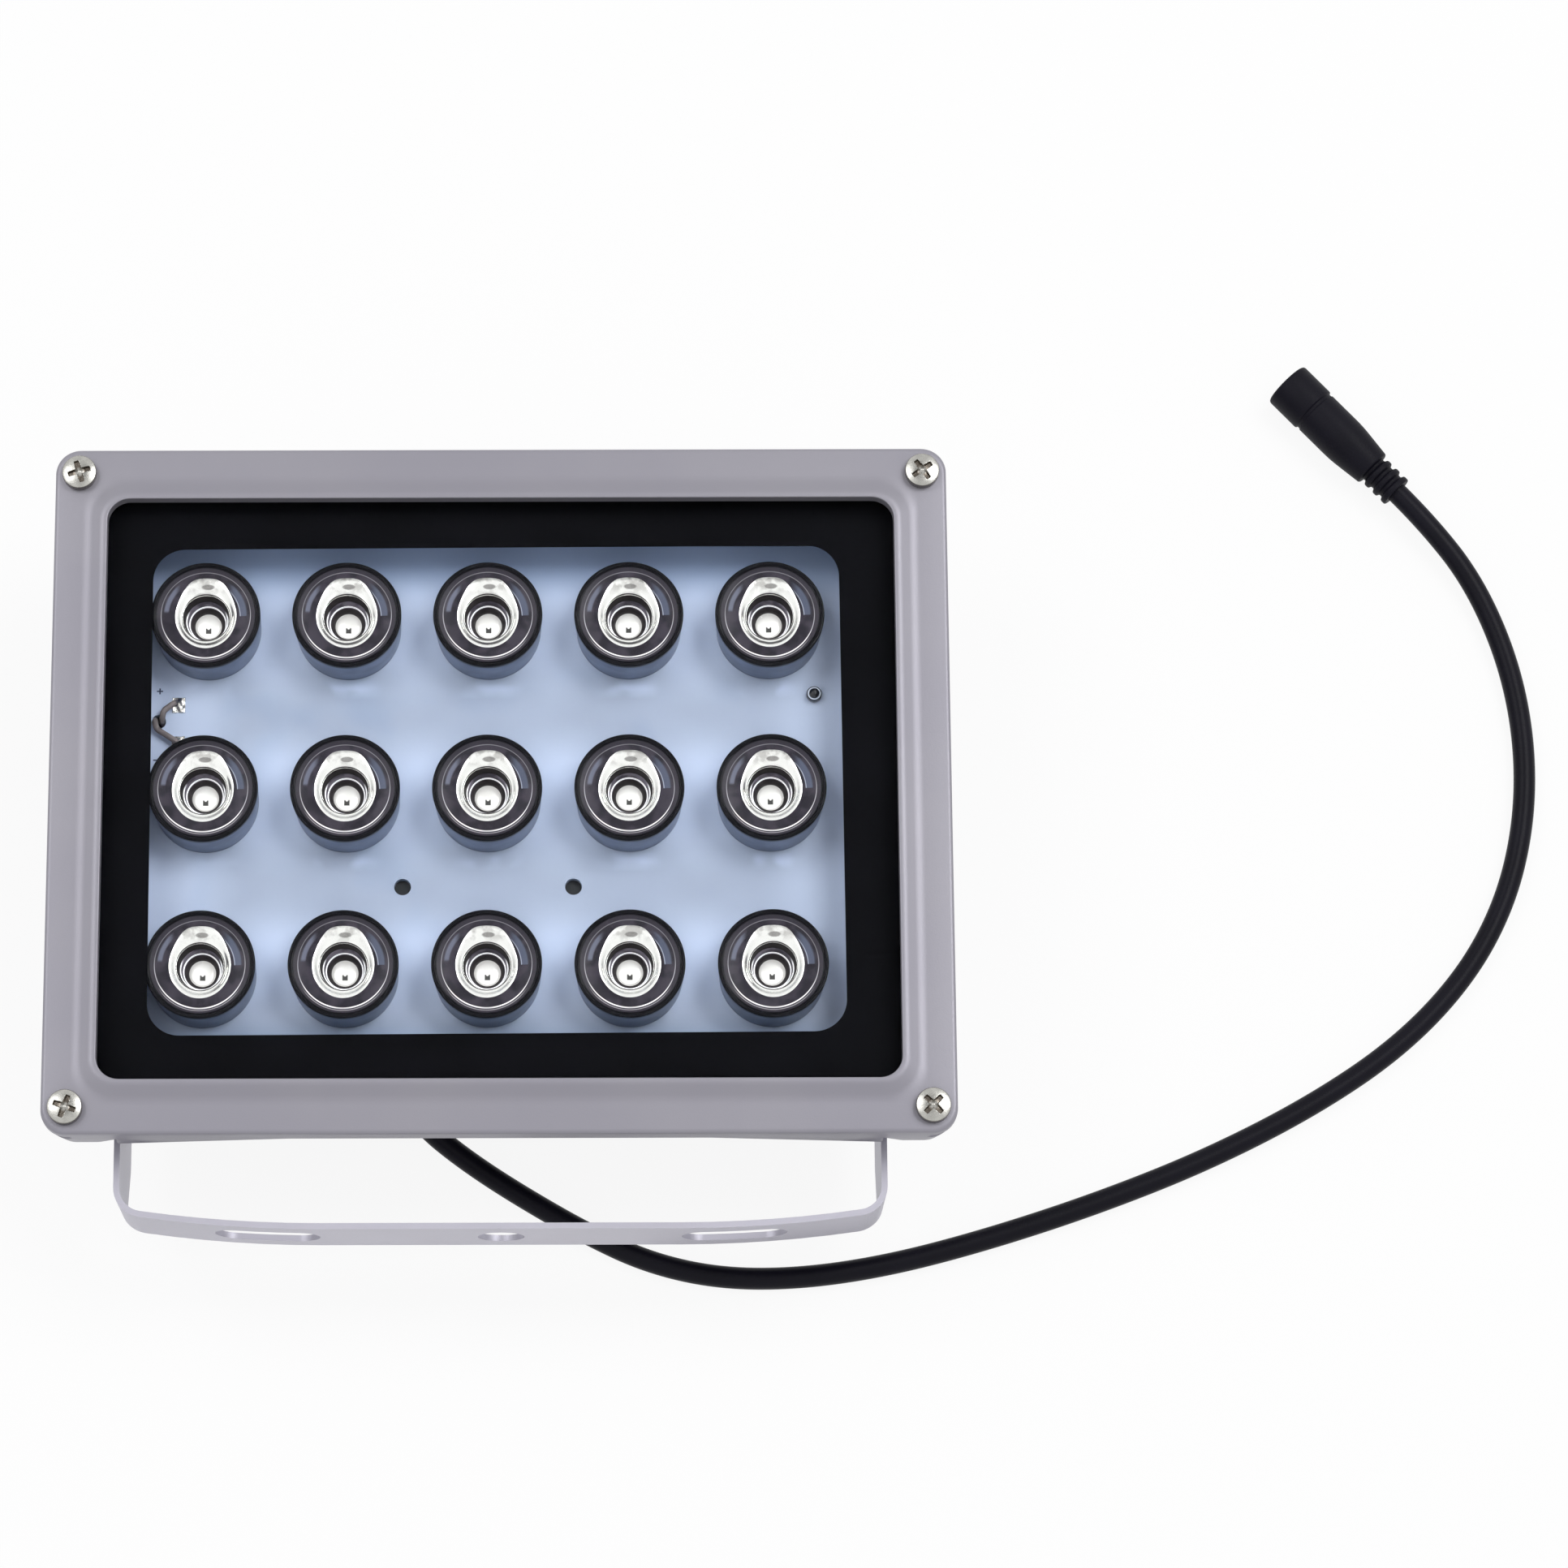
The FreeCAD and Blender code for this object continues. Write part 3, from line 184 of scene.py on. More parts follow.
def grid_faces(rows, columns, closed_rows=False, closed_columns=True):
    """Four-cornered faces of a grid of points numbered row by row."""
    row = np.arange(rows if closed_rows else rows - 1)
    column = np.arange(columns if closed_columns else columns - 1)
    row, column = np.meshgrid(row, column, indexing="ij")
    start, end, next_column = row * columns, (row + 1) % rows * columns, (column + 1) % columns
    return np.stack([start + column, start + next_column, end + next_column, end + column], -1).reshape(-1, 4)


def facing_out(points, faces):
    """The faces of a closed shape, turned over if the shape's signed volume is negative.

    Six times the volume is the sum over the triangles of the box product of their corners.
    """
    a, b, c, d = (points[faces[:, corner]] for corner in range(4))
    return faces[:, ::-1] if (a * (np.cross(b, c) + np.cross(c, d))).sum() < 0 else faces


def turned(profile, centre=(0, 0, 0), axis=(0, 0, 1), steps=96, closed=False, radius_change=0.0):
    """Surface of revolution: point = centre + axis * along + radius * (side cos a + other sin a).

    The profile has one row per ring, with its radius and its place along the axis.  radius_change
    is added to the radius: a number, or an array with one row per ring and one column per angle.
    """
    profile = np.asarray(profile, float)
    axis = np.asarray(axis, float) / np.linalg.norm(axis)
    helper = np.array((0, 0, 1.0)) if abs(axis[2]) < 0.9 else np.array((0, 1.0, 0))
    side = np.cross(helper, axis)
    side /= np.linalg.norm(side)
    other = np.cross(axis, side)
    angle = np.linspace(0, 2 * np.pi, steps, endpoint=False)
    radius = np.repeat(profile[:, :1], steps, axis=1) + radius_change
    around = np.cos(angle)[:, None] * side + np.sin(angle)[:, None] * other
    points = np.asarray(centre) + profile[:, 1, None, None] * axis + radius[:, :, None] * around
    points = points.reshape(-1, 3)
    return points, facing_out(points, grid_faces(len(profile), steps, closed_rows=closed))


def rounded_outline(half_x, half_y, radius, steps):
    """Rectangle with round corners: corner centre + radius * (cos a, sin a), a quarter turn at each corner.

    The three sizes may be arrays; the result has one row per size and one column per point.
    """
    half_x, half_y, radius = (np.atleast_1d(np.asarray(value, float)) for value in (half_x, half_y, radius))
    signs = np.array(((1, 1), (-1, 1), (-1, -1), (1, -1)), float)
    quarter = np.linspace(0, np.pi / 2, steps + 1)
    angle = (np.arange(4)[:, None] * np.pi / 2 + quarter[None]).reshape(-1)
    corner = np.repeat(signs, steps + 1, axis=0)
    x = corner[:, 0] * (half_x - radius)[:, None] + radius[:, None] * np.cos(angle)
    y = corner[:, 1] * (half_y - radius)[:, None] + radius[:, None] * np.sin(angle)
    return np.stack([x, y], -1)


def stacked(outlines, levels, centre=(0, 0), closed=False):
    """Outlines, one array row each, joined at their levels; a closed stack joins its last to its first."""
    height = np.broadcast_to(np.asarray(levels)[:, None, None], (*outlines.shape[:2], 1))
    points = np.concatenate([outlines + np.asarray(centre), height], -1).reshape(-1, 3)
    return points, facing_out(points, grid_faces(*outlines.shape[:2], closed_rows=closed))


def framed(profile, half, steps=12):
    """Frame round a rectangle: a closed profile of (inset, level, corner radius) along its outline."""
    inset, level, radius = np.asarray(profile, float).T
    return stacked(rounded_outline(half[0] - inset, half[1] - inset, radius, steps), level, closed=True)


def turned_flat(flat, angle):
    """Points in the plane turned about the middle: (x cos a - y sin a, x sin a + y cos a)."""
    cosine, sine = math.cos(angle), math.sin(angle)
    return flat @ np.array(((cosine, sine), (-sine, cosine)))


def together(shapes):
    """Several shapes as one set of points and faces."""
    points = np.vstack([shape[0] for shape in shapes])
    starts = np.cumsum([0] + [len(shape[0]) for shape in shapes[:-1]])
    return points, np.vstack([shape[1] + start for shape, start in zip(shapes, starts)])


def block(low, high, soft):
    """Box with softened edges: stacked rounded outlines whose inset follows a quarter circle at both ends,
    with a point at either end."""
    low, high = np.asarray(low, float), np.asarray(high, float)
    turn = np.linspace(0, np.pi / 2, 4)
    rise, inset = soft * (1 - np.cos(turn)), soft * (1 - np.sin(turn))
    half = np.pad((high - low)[:2, None] / 2 - np.concatenate([inset, inset[::-1]]), ((0, 0), (1, 1)))
    levels = np.concatenate([low[2:], low[2] + rise, high[2] - rise[::-1], high[2:]])
    outlines = rounded_outline(*half, np.minimum(soft, half.min(axis=0)), 3)
    return stacked(outlines, levels, (high + low)[:2] / 2)


# ---------------------------------------------------------------- pieces in the scene

def placed(source, mesh, material, body, stands_for, sharp, near=1e-7, flat=0.0):
    """Joins the double corners of a source mesh and makes its flat areas whole, then sets the new mesh up as
    a piece that rides on a body, shaded smooth but for the edges sharper than an angle."""
    work = bmesh.new()
    work.from_mesh(source)
    bmesh.ops.remove_doubles(work, verts=work.verts, dist=near)
    if flat:
        bmesh.ops.dissolve_limit(work, angle_limit=math.radians(flat), verts=work.verts, edges=work.edges)
    work.to_mesh(mesh)
    work.free()
    mesh.materials.clear()
    mesh.materials.append(material)
    mesh.polygons.foreach_set("material_index", np.zeros(len(mesh.polygons), np.int32))
    mesh.polygons.foreach_set("use_smooth", np.ones(len(mesh.polygons), bool))
    mesh.set_sharp_from_angle(angle=math.radians(sharp))
    made = bpy.data.objects.new(mesh.name, mesh)
    bpy.context.scene.collection.objects.link(made)
    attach(made, body)
    if stands_for:
        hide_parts(*stands_for)
    return made


def piece(name, shape, material, stands_for=(), places=None, sharp=40):
    """One object of the housing from points and faces; places adds each point's own place in its copy, in
    millimetres."""
    points, faces = shape
    mesh = bpy.data.meshes.new(name)
    mesh.from_pydata(points.tolist(), [], faces.tolist())
    if places is not None:
        attribute = mesh.attributes.new("own_place", "FLOAT_VECTOR", "POINT")
        attribute.data.foreach_set("vector", np.ascontiguousarray(places, np.float32).ravel())
    return placed(mesh, mesh, material, "housing", stands_for, sharp)


def refined(node, material, body="housing", sharp=28):
    """A solid's own surface as a new piece."""
    mesh = bpy.data.meshes.new(node + "_surface")
    return placed(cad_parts[node].data, mesh, material, body, (node,), sharp, near=2e-7, flat=0.4)


def dress(node, material):
    """Gives a solid that stays as it is its material."""
    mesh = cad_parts[node].data
    mesh.materials.clear()
    mesh.materials.append(material)


# ---------------------------------------------------------------- materials

class Nodes:
    """Adds nodes to one tree and links them."""

    def __init__(self, tree):
        self.tree = tree

    def add(self, kind, inputs=None, **settings):
        """A node with its settings and its inputs; an input may be another node's output."""
        node = self.tree.nodes.new(kind)
        for name, value in settings.items():
            setattr(node, name, value)
        for name, value in (inputs or {}).items():
            self.feed(node.inputs[name], value)
        return node

    def feed(self, socket, value):
        """Sets or links one input."""
        if isinstance(value, bpy.types.NodeSocket):
            self.tree.links.new(value, socket)
        else:
            socket.default_value = (*value, 1.0) if socket.type == "RGBA" else value

    def sum_of(self, operation, first, second=0.0, third=0.0, clamp=False):
        """Result of one arithmetic step."""
        inputs = {0: first, 1: second, 2: third}
        return self.add("ShaderNodeMath", inputs, operation=operation, use_clamp=clamp).outputs[0]

    def product(self, *parts):
        """Product of several values; a part given as a tuple is a ramp of the tuple's first value."""
        first, *others = (self.ramp(*part) if isinstance(part, tuple) else part for part in parts)
        for other in others:
            first = self.sum_of("MULTIPLY", first, other)
        return first

    def difference(self, first, second):
        """The first value less the second."""
        return self.sum_of("SUBTRACT", first, second)

    def mirrored(self, path):
        """One for rays that were mirrored or came through the glass."""
        return self.sum_of("MAXIMUM", path["Is Glossy Ray"], path["Is Transmission Ray"])

    def size_of(self, value):
        """A value without its sign."""
        return self.sum_of("ABSOLUTE", value)

    def ramp(self, value, start, end, low=0.0, high=1.0):
        """Smooth step of a value from one end of a range to the other."""
        limits = {"Value": value, "From Min": start, "From Max": end, "To Min": low, "To Max": high}
        return self.add("ShaderNodeMapRange", limits, interpolation_type="SMOOTHSTEP").outputs[0]

    def mixed(self, mask, first, second):
        """Colour between two colours by a mask."""
        return self.add("ShaderNodeMix", {0: mask, 6: first, 7: second}, data_type="RGBA").outputs[2]

    def place(self):
        """Each point's place in the frame of the solids."""
        return self.add("ShaderNodeTexCoord").outputs["Object"]

    def place_in_mm(self):
        """X, Y and Z of the place, in millimetres."""
        scaled = self.add("ShaderNodeVectorMath", {0: self.place(), "Scale": 1 / mm}, operation="SCALE")
        return self.split(scaled.outputs[0])

    def split(self, vector):
        """X, Y and Z of a vector."""
        return tuple(self.add("ShaderNodeSeparateXYZ", {"Vector": vector}).outputs)

    def noise(self, scale, detail):
        """Smooth noise over the place."""
        node = self.add("ShaderNodeTexNoise", {"Vector": self.place(), "Scale": scale, "Detail": detail})
        return node.outputs["Fac"]


def group_tree(name, inputs, outputs):
    """An empty shader group: its inputs by their defaults, and its outputs by their kinds."""
    tree = bpy.data.node_groups.new(name, "ShaderNodeTree")
    for label, default in inputs.items():
        kind, value = ("Color", (*default, 1.0)) if isinstance(default, tuple) else ("Float", default)
        socket = tree.interface.new_socket(name=label, in_out="INPUT", socket_type="NodeSocket" + kind)
        socket.default_value = value
    for label, kind in outputs.items():
        tree.interface.new_socket(name=label, in_out="OUTPUT", socket_type="NodeSocket" + kind)
    nodes = Nodes(tree)
    return nodes, nodes.add("NodeGroupInput").outputs, nodes.add("NodeGroupOutput").inputs


def surface_grain():
    """Group: soft patches between two colours, with fine grain in roughness and height."""
    if "surface_grain" in bpy.data.node_groups:
        return bpy.data.node_groups["surface_grain"]
    nodes, given, wanted = group_tree(
        "surface_grain",
        {"Colour": (0.5, 0.5, 0.5), "Second Colour": (0.4, 0.4, 0.4), "Patch Scale": 30.0,
         "Grain Scale": 1500.0, "Grain Height": 0.02 * mm, "Roughness": 0.4, "Roughness Spread": 0.1},
        {"Colour": "Color", "Roughness": "Float", "Normal": "Vector"})
    mask = nodes.ramp(nodes.noise(given["Patch Scale"], 3.0), 0.35, 0.65)
    nodes.feed(wanted["Colour"], nodes.mixed(mask, given["Colour"], given["Second Colour"]))
    grain = nodes.noise(given["Grain Scale"], 2.0)
    spread = nodes.product(nodes.difference(grain, 0.5), given["Roughness Spread"])
    nodes.feed(wanted["Roughness"], nodes.sum_of("ADD", spread, given["Roughness"], clamp=True))
    bump = nodes.add("ShaderNodeBump", {"Height": grain, "Distance": given["Grain Height"]})
    nodes.feed(wanted["Normal"], bump.outputs["Normal"])
    return nodes.tree


def ring_band():
    """Group: mask of a ring, one inside its half width and falling to zero over its softness."""
    if "ring_band" in bpy.data.node_groups:
        return bpy.data.node_groups["ring_band"]
    nodes, given, wanted = group_tree(
        "ring_band", {"Radius": 0.0, "Middle": 8.0, "Half Width": 0.2, "Softness": 0.1}, {"Mask": "Float"})
    away = nodes.size_of(nodes.difference(given["Radius"], given["Middle"]))
    inside = nodes.difference(nodes.sum_of("ADD", given["Half Width"], given["Softness"]), away)
    nodes.feed(wanted["Mask"], nodes.sum_of("DIVIDE", inside, given["Softness"], clamp=True))
    return nodes.tree


class Finish(Nodes):
    """A material with one Principled shader, whose plain numbers are set on its own sockets."""

    def __init__(self, name, **sockets):
        self.material = bpy.data.materials.new(name)
        self.material.use_nodes = True
        super().__init__(self.material.node_tree)
        self.tree.nodes.clear()
        self.output = self.add("ShaderNodeOutputMaterial")
        self.shader = self.add("ShaderNodeBsdfPrincipled")
        self.feed(self.output.inputs["Surface"], self.shader.outputs["BSDF"])
        for label, value in sockets.items():
            self.feed(self.shader.inputs[label.replace("_", " ")], value)

    def grain(self, colour, second, patch=30.0, scale=1500.0, height=0.02 * mm, roughness=0.4, spread=0.1):
        """Feeds the shader from the grain group."""
        inputs = {"Colour": colour, "Second Colour": second, "Patch Scale": patch, "Grain Scale": scale,
                  "Grain Height": height, "Roughness": roughness, "Roughness Spread": spread}
        node = self.add("ShaderNodeGroup", inputs, node_tree=surface_grain())
        self.colour = node.outputs["Colour"]
        self.feed(self.shader.inputs["Base Color"], self.colour)
        for label in ("Roughness", "Normal"):
            self.feed(self.shader.inputs[label], node.outputs[label])

    def over(self, colour, *masks):
        """Lays a colour over the present one, through the product of its masks."""
        self.colour = self.mixed(self.product(*masks), self.colour, colour)

    def glow(self, mask, first, second):
        """Lets the surface give off a little light, between two colours."""
        self.feed(self.shader.inputs["Emission Color"], self.mixed(mask, first, second))
        self.shader.inputs["Emission Strength"].default_value = 1.0

    def joined_by(self, share, other):
        """Shows another shader in the shader's place, by a share."""
        both = self.add("ShaderNodeMixShader", {0: share, 1: self.shader.outputs[0], 2: other.outputs[0]})
        self.feed(self.output.inputs["Surface"], both.outputs[0])

    def painted(self):
        """Gives the shader the present colour, and returns the material."""
        self.feed(self.shader.inputs["Base Color"], self.colour)
        return self.material

    def band(self, radius, middle, half, soft=0.08):
        """Mask of one ring, its sizes in millimetres."""
        inputs = {"Radius": radius, "Middle": middle, "Half Width": half, "Softness": soft}
        return self.add("ShaderNodeGroup", inputs, node_tree=ring_band()).outputs["Mask"]

    def own_place(self):
        """X, Y, Z and distance from the upright middle line, as the piece's own attribute has them in mm."""
        x, y, z = self.split(self.add("ShaderNodeAttribute", attribute_name="own_place").outputs["Vector"])
        return x, y, z, self.distance(x, y)

    def distance(self, x, y, centre_x=0.0, centre_y=0.0):
        """Distance in the plane from a centre."""
        across, along = self.difference(x, centre_x), self.difference(y, centre_y)
        squares = self.sum_of("ADD", self.product(across, across), self.product(along, along))
        return self.sum_of("SQRT", squares)


def lighter(colour, factor):
    """A colour scaled, kept within range."""
    return tuple(min(1.0, part * factor) for part in colour)


def paint_finish(name, colour, second):
    """Smooth silver-grey enamel: fine flake, faint orange peel, soft sheen."""
    finish = Finish(name, Metallic=0.36, Coat_Weight=0.05, Coat_Roughness=0.4)
    finish.grain(colour, second, patch=24.0, scale=2600.0, height=0.012 * mm, roughness=0.41, spread=0.12)
    return finish


def casing_finish(colours):
    """Enamel of the casting, with painted shade on the cavity floor behind the board's holes."""
    finish = paint_finish("casing_enamel", colours.paint, colours.paint_shade)
    level = finish.place_in_mm()[2]
    # painted shade: the cavity floor shows black through the board's holes
    finish.over(shade(14, 18, 24), finish.band(level, BOARD_LOW[2] / mm, 0.06, 0.04))
    return finish.painted()


def metal_finish(name, colour, second, roughness=0.25, patch=400.0, height=0.008 * mm):
    """Plated metal with faint stains and a fine scratch grain."""
    finish = Finish(name, Metallic=1.0)
    finish.grain(colour, second, patch=patch, scale=3000.0, height=height, roughness=roughness, spread=0.15)
    return finish.material


def moulded_finish(name, colour, second, roughness=0.5, height=0.03 * mm, gloss=0.3):
    """Moulded plastic or rubber with a fine satin grain."""
    finish = Finish(name, Specular_IOR_Level=gloss)
    finish.grain(colour, second, patch=90.0, scale=2200.0, height=height, roughness=roughness, spread=0.15)
    return finish.material


def glass_finish():
    """Clear toughened glass: refracts for the eye and lets the lamps' light straight through."""
    tint = (0.98, 0.99, 0.995)
    finish = Finish("clear_glass", Base_Color=tint, Roughness=0.0, IOR=1.1, Transmission_Weight=1.0)
    finish.joined_by(finish.add("ShaderNodeLightPath").outputs["Is Shadow Ray"],
                     finish.add("ShaderNodeBsdfTransparent", {"Color": tint}))
    return finish.material


def board_finish(colours):
    """Pale solder mask with soft patches; painted light between the lenses and toward its sides, where their
    shadows fall, painted pools of the light they throw below them, painted bluish bounce light along its
    upper edge and painted shade along its lower edge."""
    finish = Finish("board_mask", Coat_Weight=0.05, Coat_Roughness=0.4)
    pale, deep = colours.board, colours.board_patches_and_shade
    finish.grain(pale, lighter(pale, 0.93), patch=45.0, scale=3500.0, height=0.006 * mm,
                 roughness=0.5, spread=0.08)
    x, y, _ = finish.place_in_mm()
    finish.over(lighter(deep, 0.85), (finish.noise(75.0, 1.5), 0.52, 0.75, 0.0, 0.3))
    # painted light between the lenses and toward the sides, where the lenses' shadows fall
    painted_gap_light = finish.product(lens_wave(finish, x, 0), lens_wave(finish, y, 1))
    side = finish.ramp(finish.size_of(x), 50, 70, 0.0, 0.6)
    finish.over(lighter(pale, 1.9), finish.sum_of("MAXIMUM", painted_gap_light, side))
    # painted pools of the light that the lenses throw below them, broken up by flecks
    below = finish.band(finish.sum_of("ADD", nearest_lens(finish, y, 1), 12.4), 0.0, 0.3, 2.0)
    flecks = finish.ramp(finish.noise(150.0, 1.0), 0.42, 0.65, 0.0, 0.6)
    centred = finish.ramp(finish.size_of(nearest_lens(finish, x, 0)), 8.5, 2.0)
    finish.over(lighter(pale, 1.7), below, flecks, centred)
    # painted bluish bounce light along the upper edge
    finish.over(shade(157, 177, 211), (y, 41, 52))
    # painted shade along the lower edge
    finish.over(deep, (y, -42, -53))
    return finish.painted()


def lens_lines(axis):
    """The first column or row of lenses along an axis and the pitch, in millimetres."""
    lines = np.unique(np.round(LENS_PLACES[:, axis] / mm, 2))
    return lines[0], lines[1] - lines[0]


def nearest_lens(finish, along, axis):
    """Signed distance along one axis from the middle of the nearest column or row of lenses."""
    first, pitch = lens_lines(axis)
    shifted = finish.sum_of("DIVIDE", finish.difference(along, first), pitch)
    return finish.product(finish.difference(shifted, finish.sum_of("ROUND", shifted)), pitch)


def lens_wave(finish, along, axis):
    """Half a cosine that peaks midway between the columns, or on the middle line of the rows."""
    first, pitch = lens_lines(axis)
    peak = first + (pitch / 2 if axis == 0 else 0.0)
    phase = finish.product(finish.difference(along, peak), 2 * math.pi / pitch)
    return finish.sum_of("MULTIPLY_ADD", finish.sum_of("COSINE", phase), 0.5, 0.5)


def lens_face_finish(colours):
    """Front of a lens: near-black rim and dark bands, with painted highlights in two fine light lines round
    the rim, a bright crescent low down, a streak and a faint mark, and a painted blue-grey reflection on its
    right shoulder."""
    finish = Finish("lens_face", Roughness=0.2, Specular_IOR_Level=0.08)
    x, y, _, radius = finish.own_place()
    finish.colour = lighter(colours.lens_dark, 0.75)
    finish.over(lighter(colours.lens_dark, 1.35), (finish.noise(260.0, 2.0), 0.4, 0.62))
    finish.over(colours.lens_dark, (radius, 9.0, 9.15))
    right = finish.product((x, 4.0, 6.4), (y, -0.2, 0.05))
    # the painted blue-grey reflection and the painted highlight line on it
    finish.over(shade(86, 92, 110), right, finish.band(radius, 7.55, 0.5, 0.35), 0.75)
    highlight_streak = finish.band(finish.distance(x, y, -1.2, -0.4), 8.15, 0.03, 0.1)
    finish.over(shade(168, 172, 186), right, highlight_streak, 0.8)
    # a faint painted highlight on the left
    finish.over(shade(96, 98, 112), (x, -5.0, -6.6), (y, 0.4, 1.2), finish.band(radius, 8.0, 0.3, 0.3))
    # two fine painted highlight lines round the rim, stronger on the lower side, the outer one only there
    sine = finish.sum_of("DIVIDE", y, radius)
    finish.over(shade(190, 187, 194), finish.band(radius, 9.02, 0.02, 0.09), (sine, 0.35, -0.35, 0.3, 0.8))
    finish.over(shade(150, 146, 150), finish.band(radius, 9.4, 0.03, 0.08), (sine, -0.45, -0.8))
    # the painted highlight crescent between two circles, the upper one's middle a little higher
    upper = finish.distance(x, y, 0.0, 0.25)
    finish.over(shade(250, 247, 244), (upper, 8.98, 9.1), (radius, 9.05, 8.93), (y, -2.2, -5.4),
                (finish.size_of(x), 0.0, 3.4, 0.55, 1.0))
    finish.over(colours.lens_rim, (radius, 9.8, 10.05))
    return finish.painted()


def barrel_finish(colours):
    """Side of a lens: clear acrylic that takes the board's blue-grey, with painted shade at its foot where it
    meets the board, and near-black at its rim.
    """
    finish = Finish("lens_barrel", Roughness=0.3, Specular_IOR_Level=0.12)
    height = finish.own_place()[2]
    finish.colour = lighter(colours.barrel, 0.85)
    finish.over(lighter(colours.barrel, 1.12), (finish.noise(180.0, 2.0), 0.35, 0.65))
    # painted shade along the foot, where the barrel meets the board
    finish.over(shade(50, 57, 78), (height, 0.8, 0.3))
    finish.over(colours.lens_rim, (height, 9.5, 10.0))
    return finish.painted()


def reflector_finish(colours):
    """Bright funnel of a lens: polished, with painted grey reflections as a fleck and faint clouds at its
    upper end.
    """
    finish = Finish("lens_reflector", Metallic=1.0)
    x, y, _, _ = finish.own_place()
    finish.grain(colours.reflector, lighter(colours.reflector, 0.97), patch=420.0, scale=900.0,
                 roughness=0.15, spread=0.08)
    # painted darker reflection in faint clouds toward the upper end
    finish.over(shade(168, 164, 160), (y, 4.2, 6.4, 0.0, 0.55), (finish.noise(420.0, 2.0), 0.42, 0.62))
    # painted grey reflection: an oval fleck near the top
    flat = finish.product(finish.difference(y, 6.15), 2.5)
    finish.over(shade(132, 129, 127), (finish.distance(x, flat, 0.3), 1.5, 1.0, 0.0, 0.8))
    return finish.painted()


def bore_finish():
    """Bore of a lens: near-black wall, grey cone, and two steps painted as bright highlights that give off
    a little light.
    """
    finish = Finish("lens_bore", Roughness=0.45, Specular_IOR_Level=0.03)
    _, y, height, _ = finish.own_place()
    clouds = finish.ramp(finish.noise(300.0, 3.0), 0.42, 0.6)
    cone = finish.mixed(clouds, shade(84, 80, 90), shade(128, 122, 134))
    finish.colour = shade(40, 36, 38)
    finish.over(cone, (height, 6.3, 6.1))
    finish.over(shade(62, 58, 60), (height, 4.05, 3.95))
    # painted highlights on the two steps, the higher one left out toward the top, with a painted glow
    upper = finish.product(finish.band(height, 6.08, 0.12), (y, 2.4, 0.6))
    rings = finish.sum_of("MAXIMUM", upper, finish.band(height, 4.25, 0.09))
    finish.over(shade(255, 254, 255), rings)
    finish.glow(rings, (0.0, 0.0, 0.0), (0.35, 0.35, 0.36))
    return finish.painted()


def dome_finish():
    """Bright disc of an emitter under its lens with a painted glow, and the small dark mark of its chip,
    which glows much less.
    """
    finish = Finish("emitter_dome", Metallic=0.6)
    finish.grain(shade(252, 251, 247), shade(236, 234, 228), patch=300.0, scale=1200.0, height=0.01 * mm,
                 roughness=0.25)
    x, y, _, _ = finish.own_place()
    across = finish.ramp(finish.size_of(x), 0.62, 0.48)
    along = finish.ramp(finish.size_of(finish.sum_of("ADD", y, 0.85)), 0.62, 0.5)
    notch = finish.ramp(finish.distance(x, y, 0.0, -0.3), 0.2, 0.34)
    chip = finish.product(across, along, notch)
    # painted glow over the disc, much less on the chip mark
    finish.glow(chip, (0.45, 0.445, 0.435), (0.06, 0.06, 0.06))
    finish.over(shade(52, 50, 48), chip)
    return finish.painted()


def screw_finish(colours):
    """Nickel of the screw heads, with a thin painted shade round the head's outer edge and painted shade in
    the driven recess, lighter toward its middle.
    """
    finish = Finish("screw_nickel", Metallic=1.0)
    finish.grain(colours.screw, lighter(colours.screw, 0.85), patch=700.0, scale=2600.0, height=0.012 * mm,
                 roughness=0.26, spread=0.12)
    _, _, depth, radius = finish.own_place()
    # painted shade: a thin dark ring at the head's outer edge
    finish.over(shade(110, 106, 102), (radius, 3.3, 3.42))
    # painted shade in the recess, lighter toward its middle
    finish.over(shade(112, 105, 97), (depth, 0.1, 0.6), (radius, 0.5, 1.1, 0.1, 1.0))
    return finish.painted()


def sensor_finish():
    """Light cell: dark middle, pale ring and dark collar."""
    finish = Finish("light_cell", Roughness=0.3, Coat_Weight=0.4, Coat_Roughness=0.1)
    finish.colour = shade(22, 24, 30)
    finish.over(shade(206, 214, 228), finish.band(finish.own_place()[3], 1.2, 0.1, 0.06))
    return finish.painted()


# ---------------------------------------------------------------- operators

# Control points of the cord in millimetres, from the gland's seal to the connector; most lie on the floor.
CORD_ROUTE = (
    (-24.6, -34.0, 11.0), (-24.6, -43.4, 11.0), (-21.7, -52.2, 9.4), (-16.4, -59.5, 6.5),
    (-8.8, -65.4, 3.9), (1.6, -72.2, 2.35), (16.5, -81.0, 2.35), (29.5, -87.2, 2.35),
    (44.0, -90.5, 2.35), (60.0, -90.6, 2.35), (78.0, -88.0, 2.35), (98.0, -82.8, 2.35),
    (121.0, -75.3, 2.35), (144.0, -66.2, 2.35), (166.0, -55.0, 2.35), (184.5, -42.6, 2.35),
    (198.5, -28.2, 2.35), (207.5, -12.6, 2.35), (212.3, 4.6, 2.35), (213.3, 22.5, 2.35),
    (210.6, 40.5, 2.35), (203.9, 57.5, 3.2), (194.3, 69.9, 5.3), (188.2, 76.5, 5.3),
)

# Where the photograph was taken from, found by fitting the corners, screws, lenses and holes in it.
CAMERA_PLACE = Vector((0.021017, -0.282410, 1.106684))
CAMERA_RIGHT = Vector((0.999997, -0.002259, -0.000606))
CAMERA_UP = Vector((0.002339, 0.965828, 0.259172))
CAMERA_LENS, CAMERA_SHIFT = 125.75, 0.11378
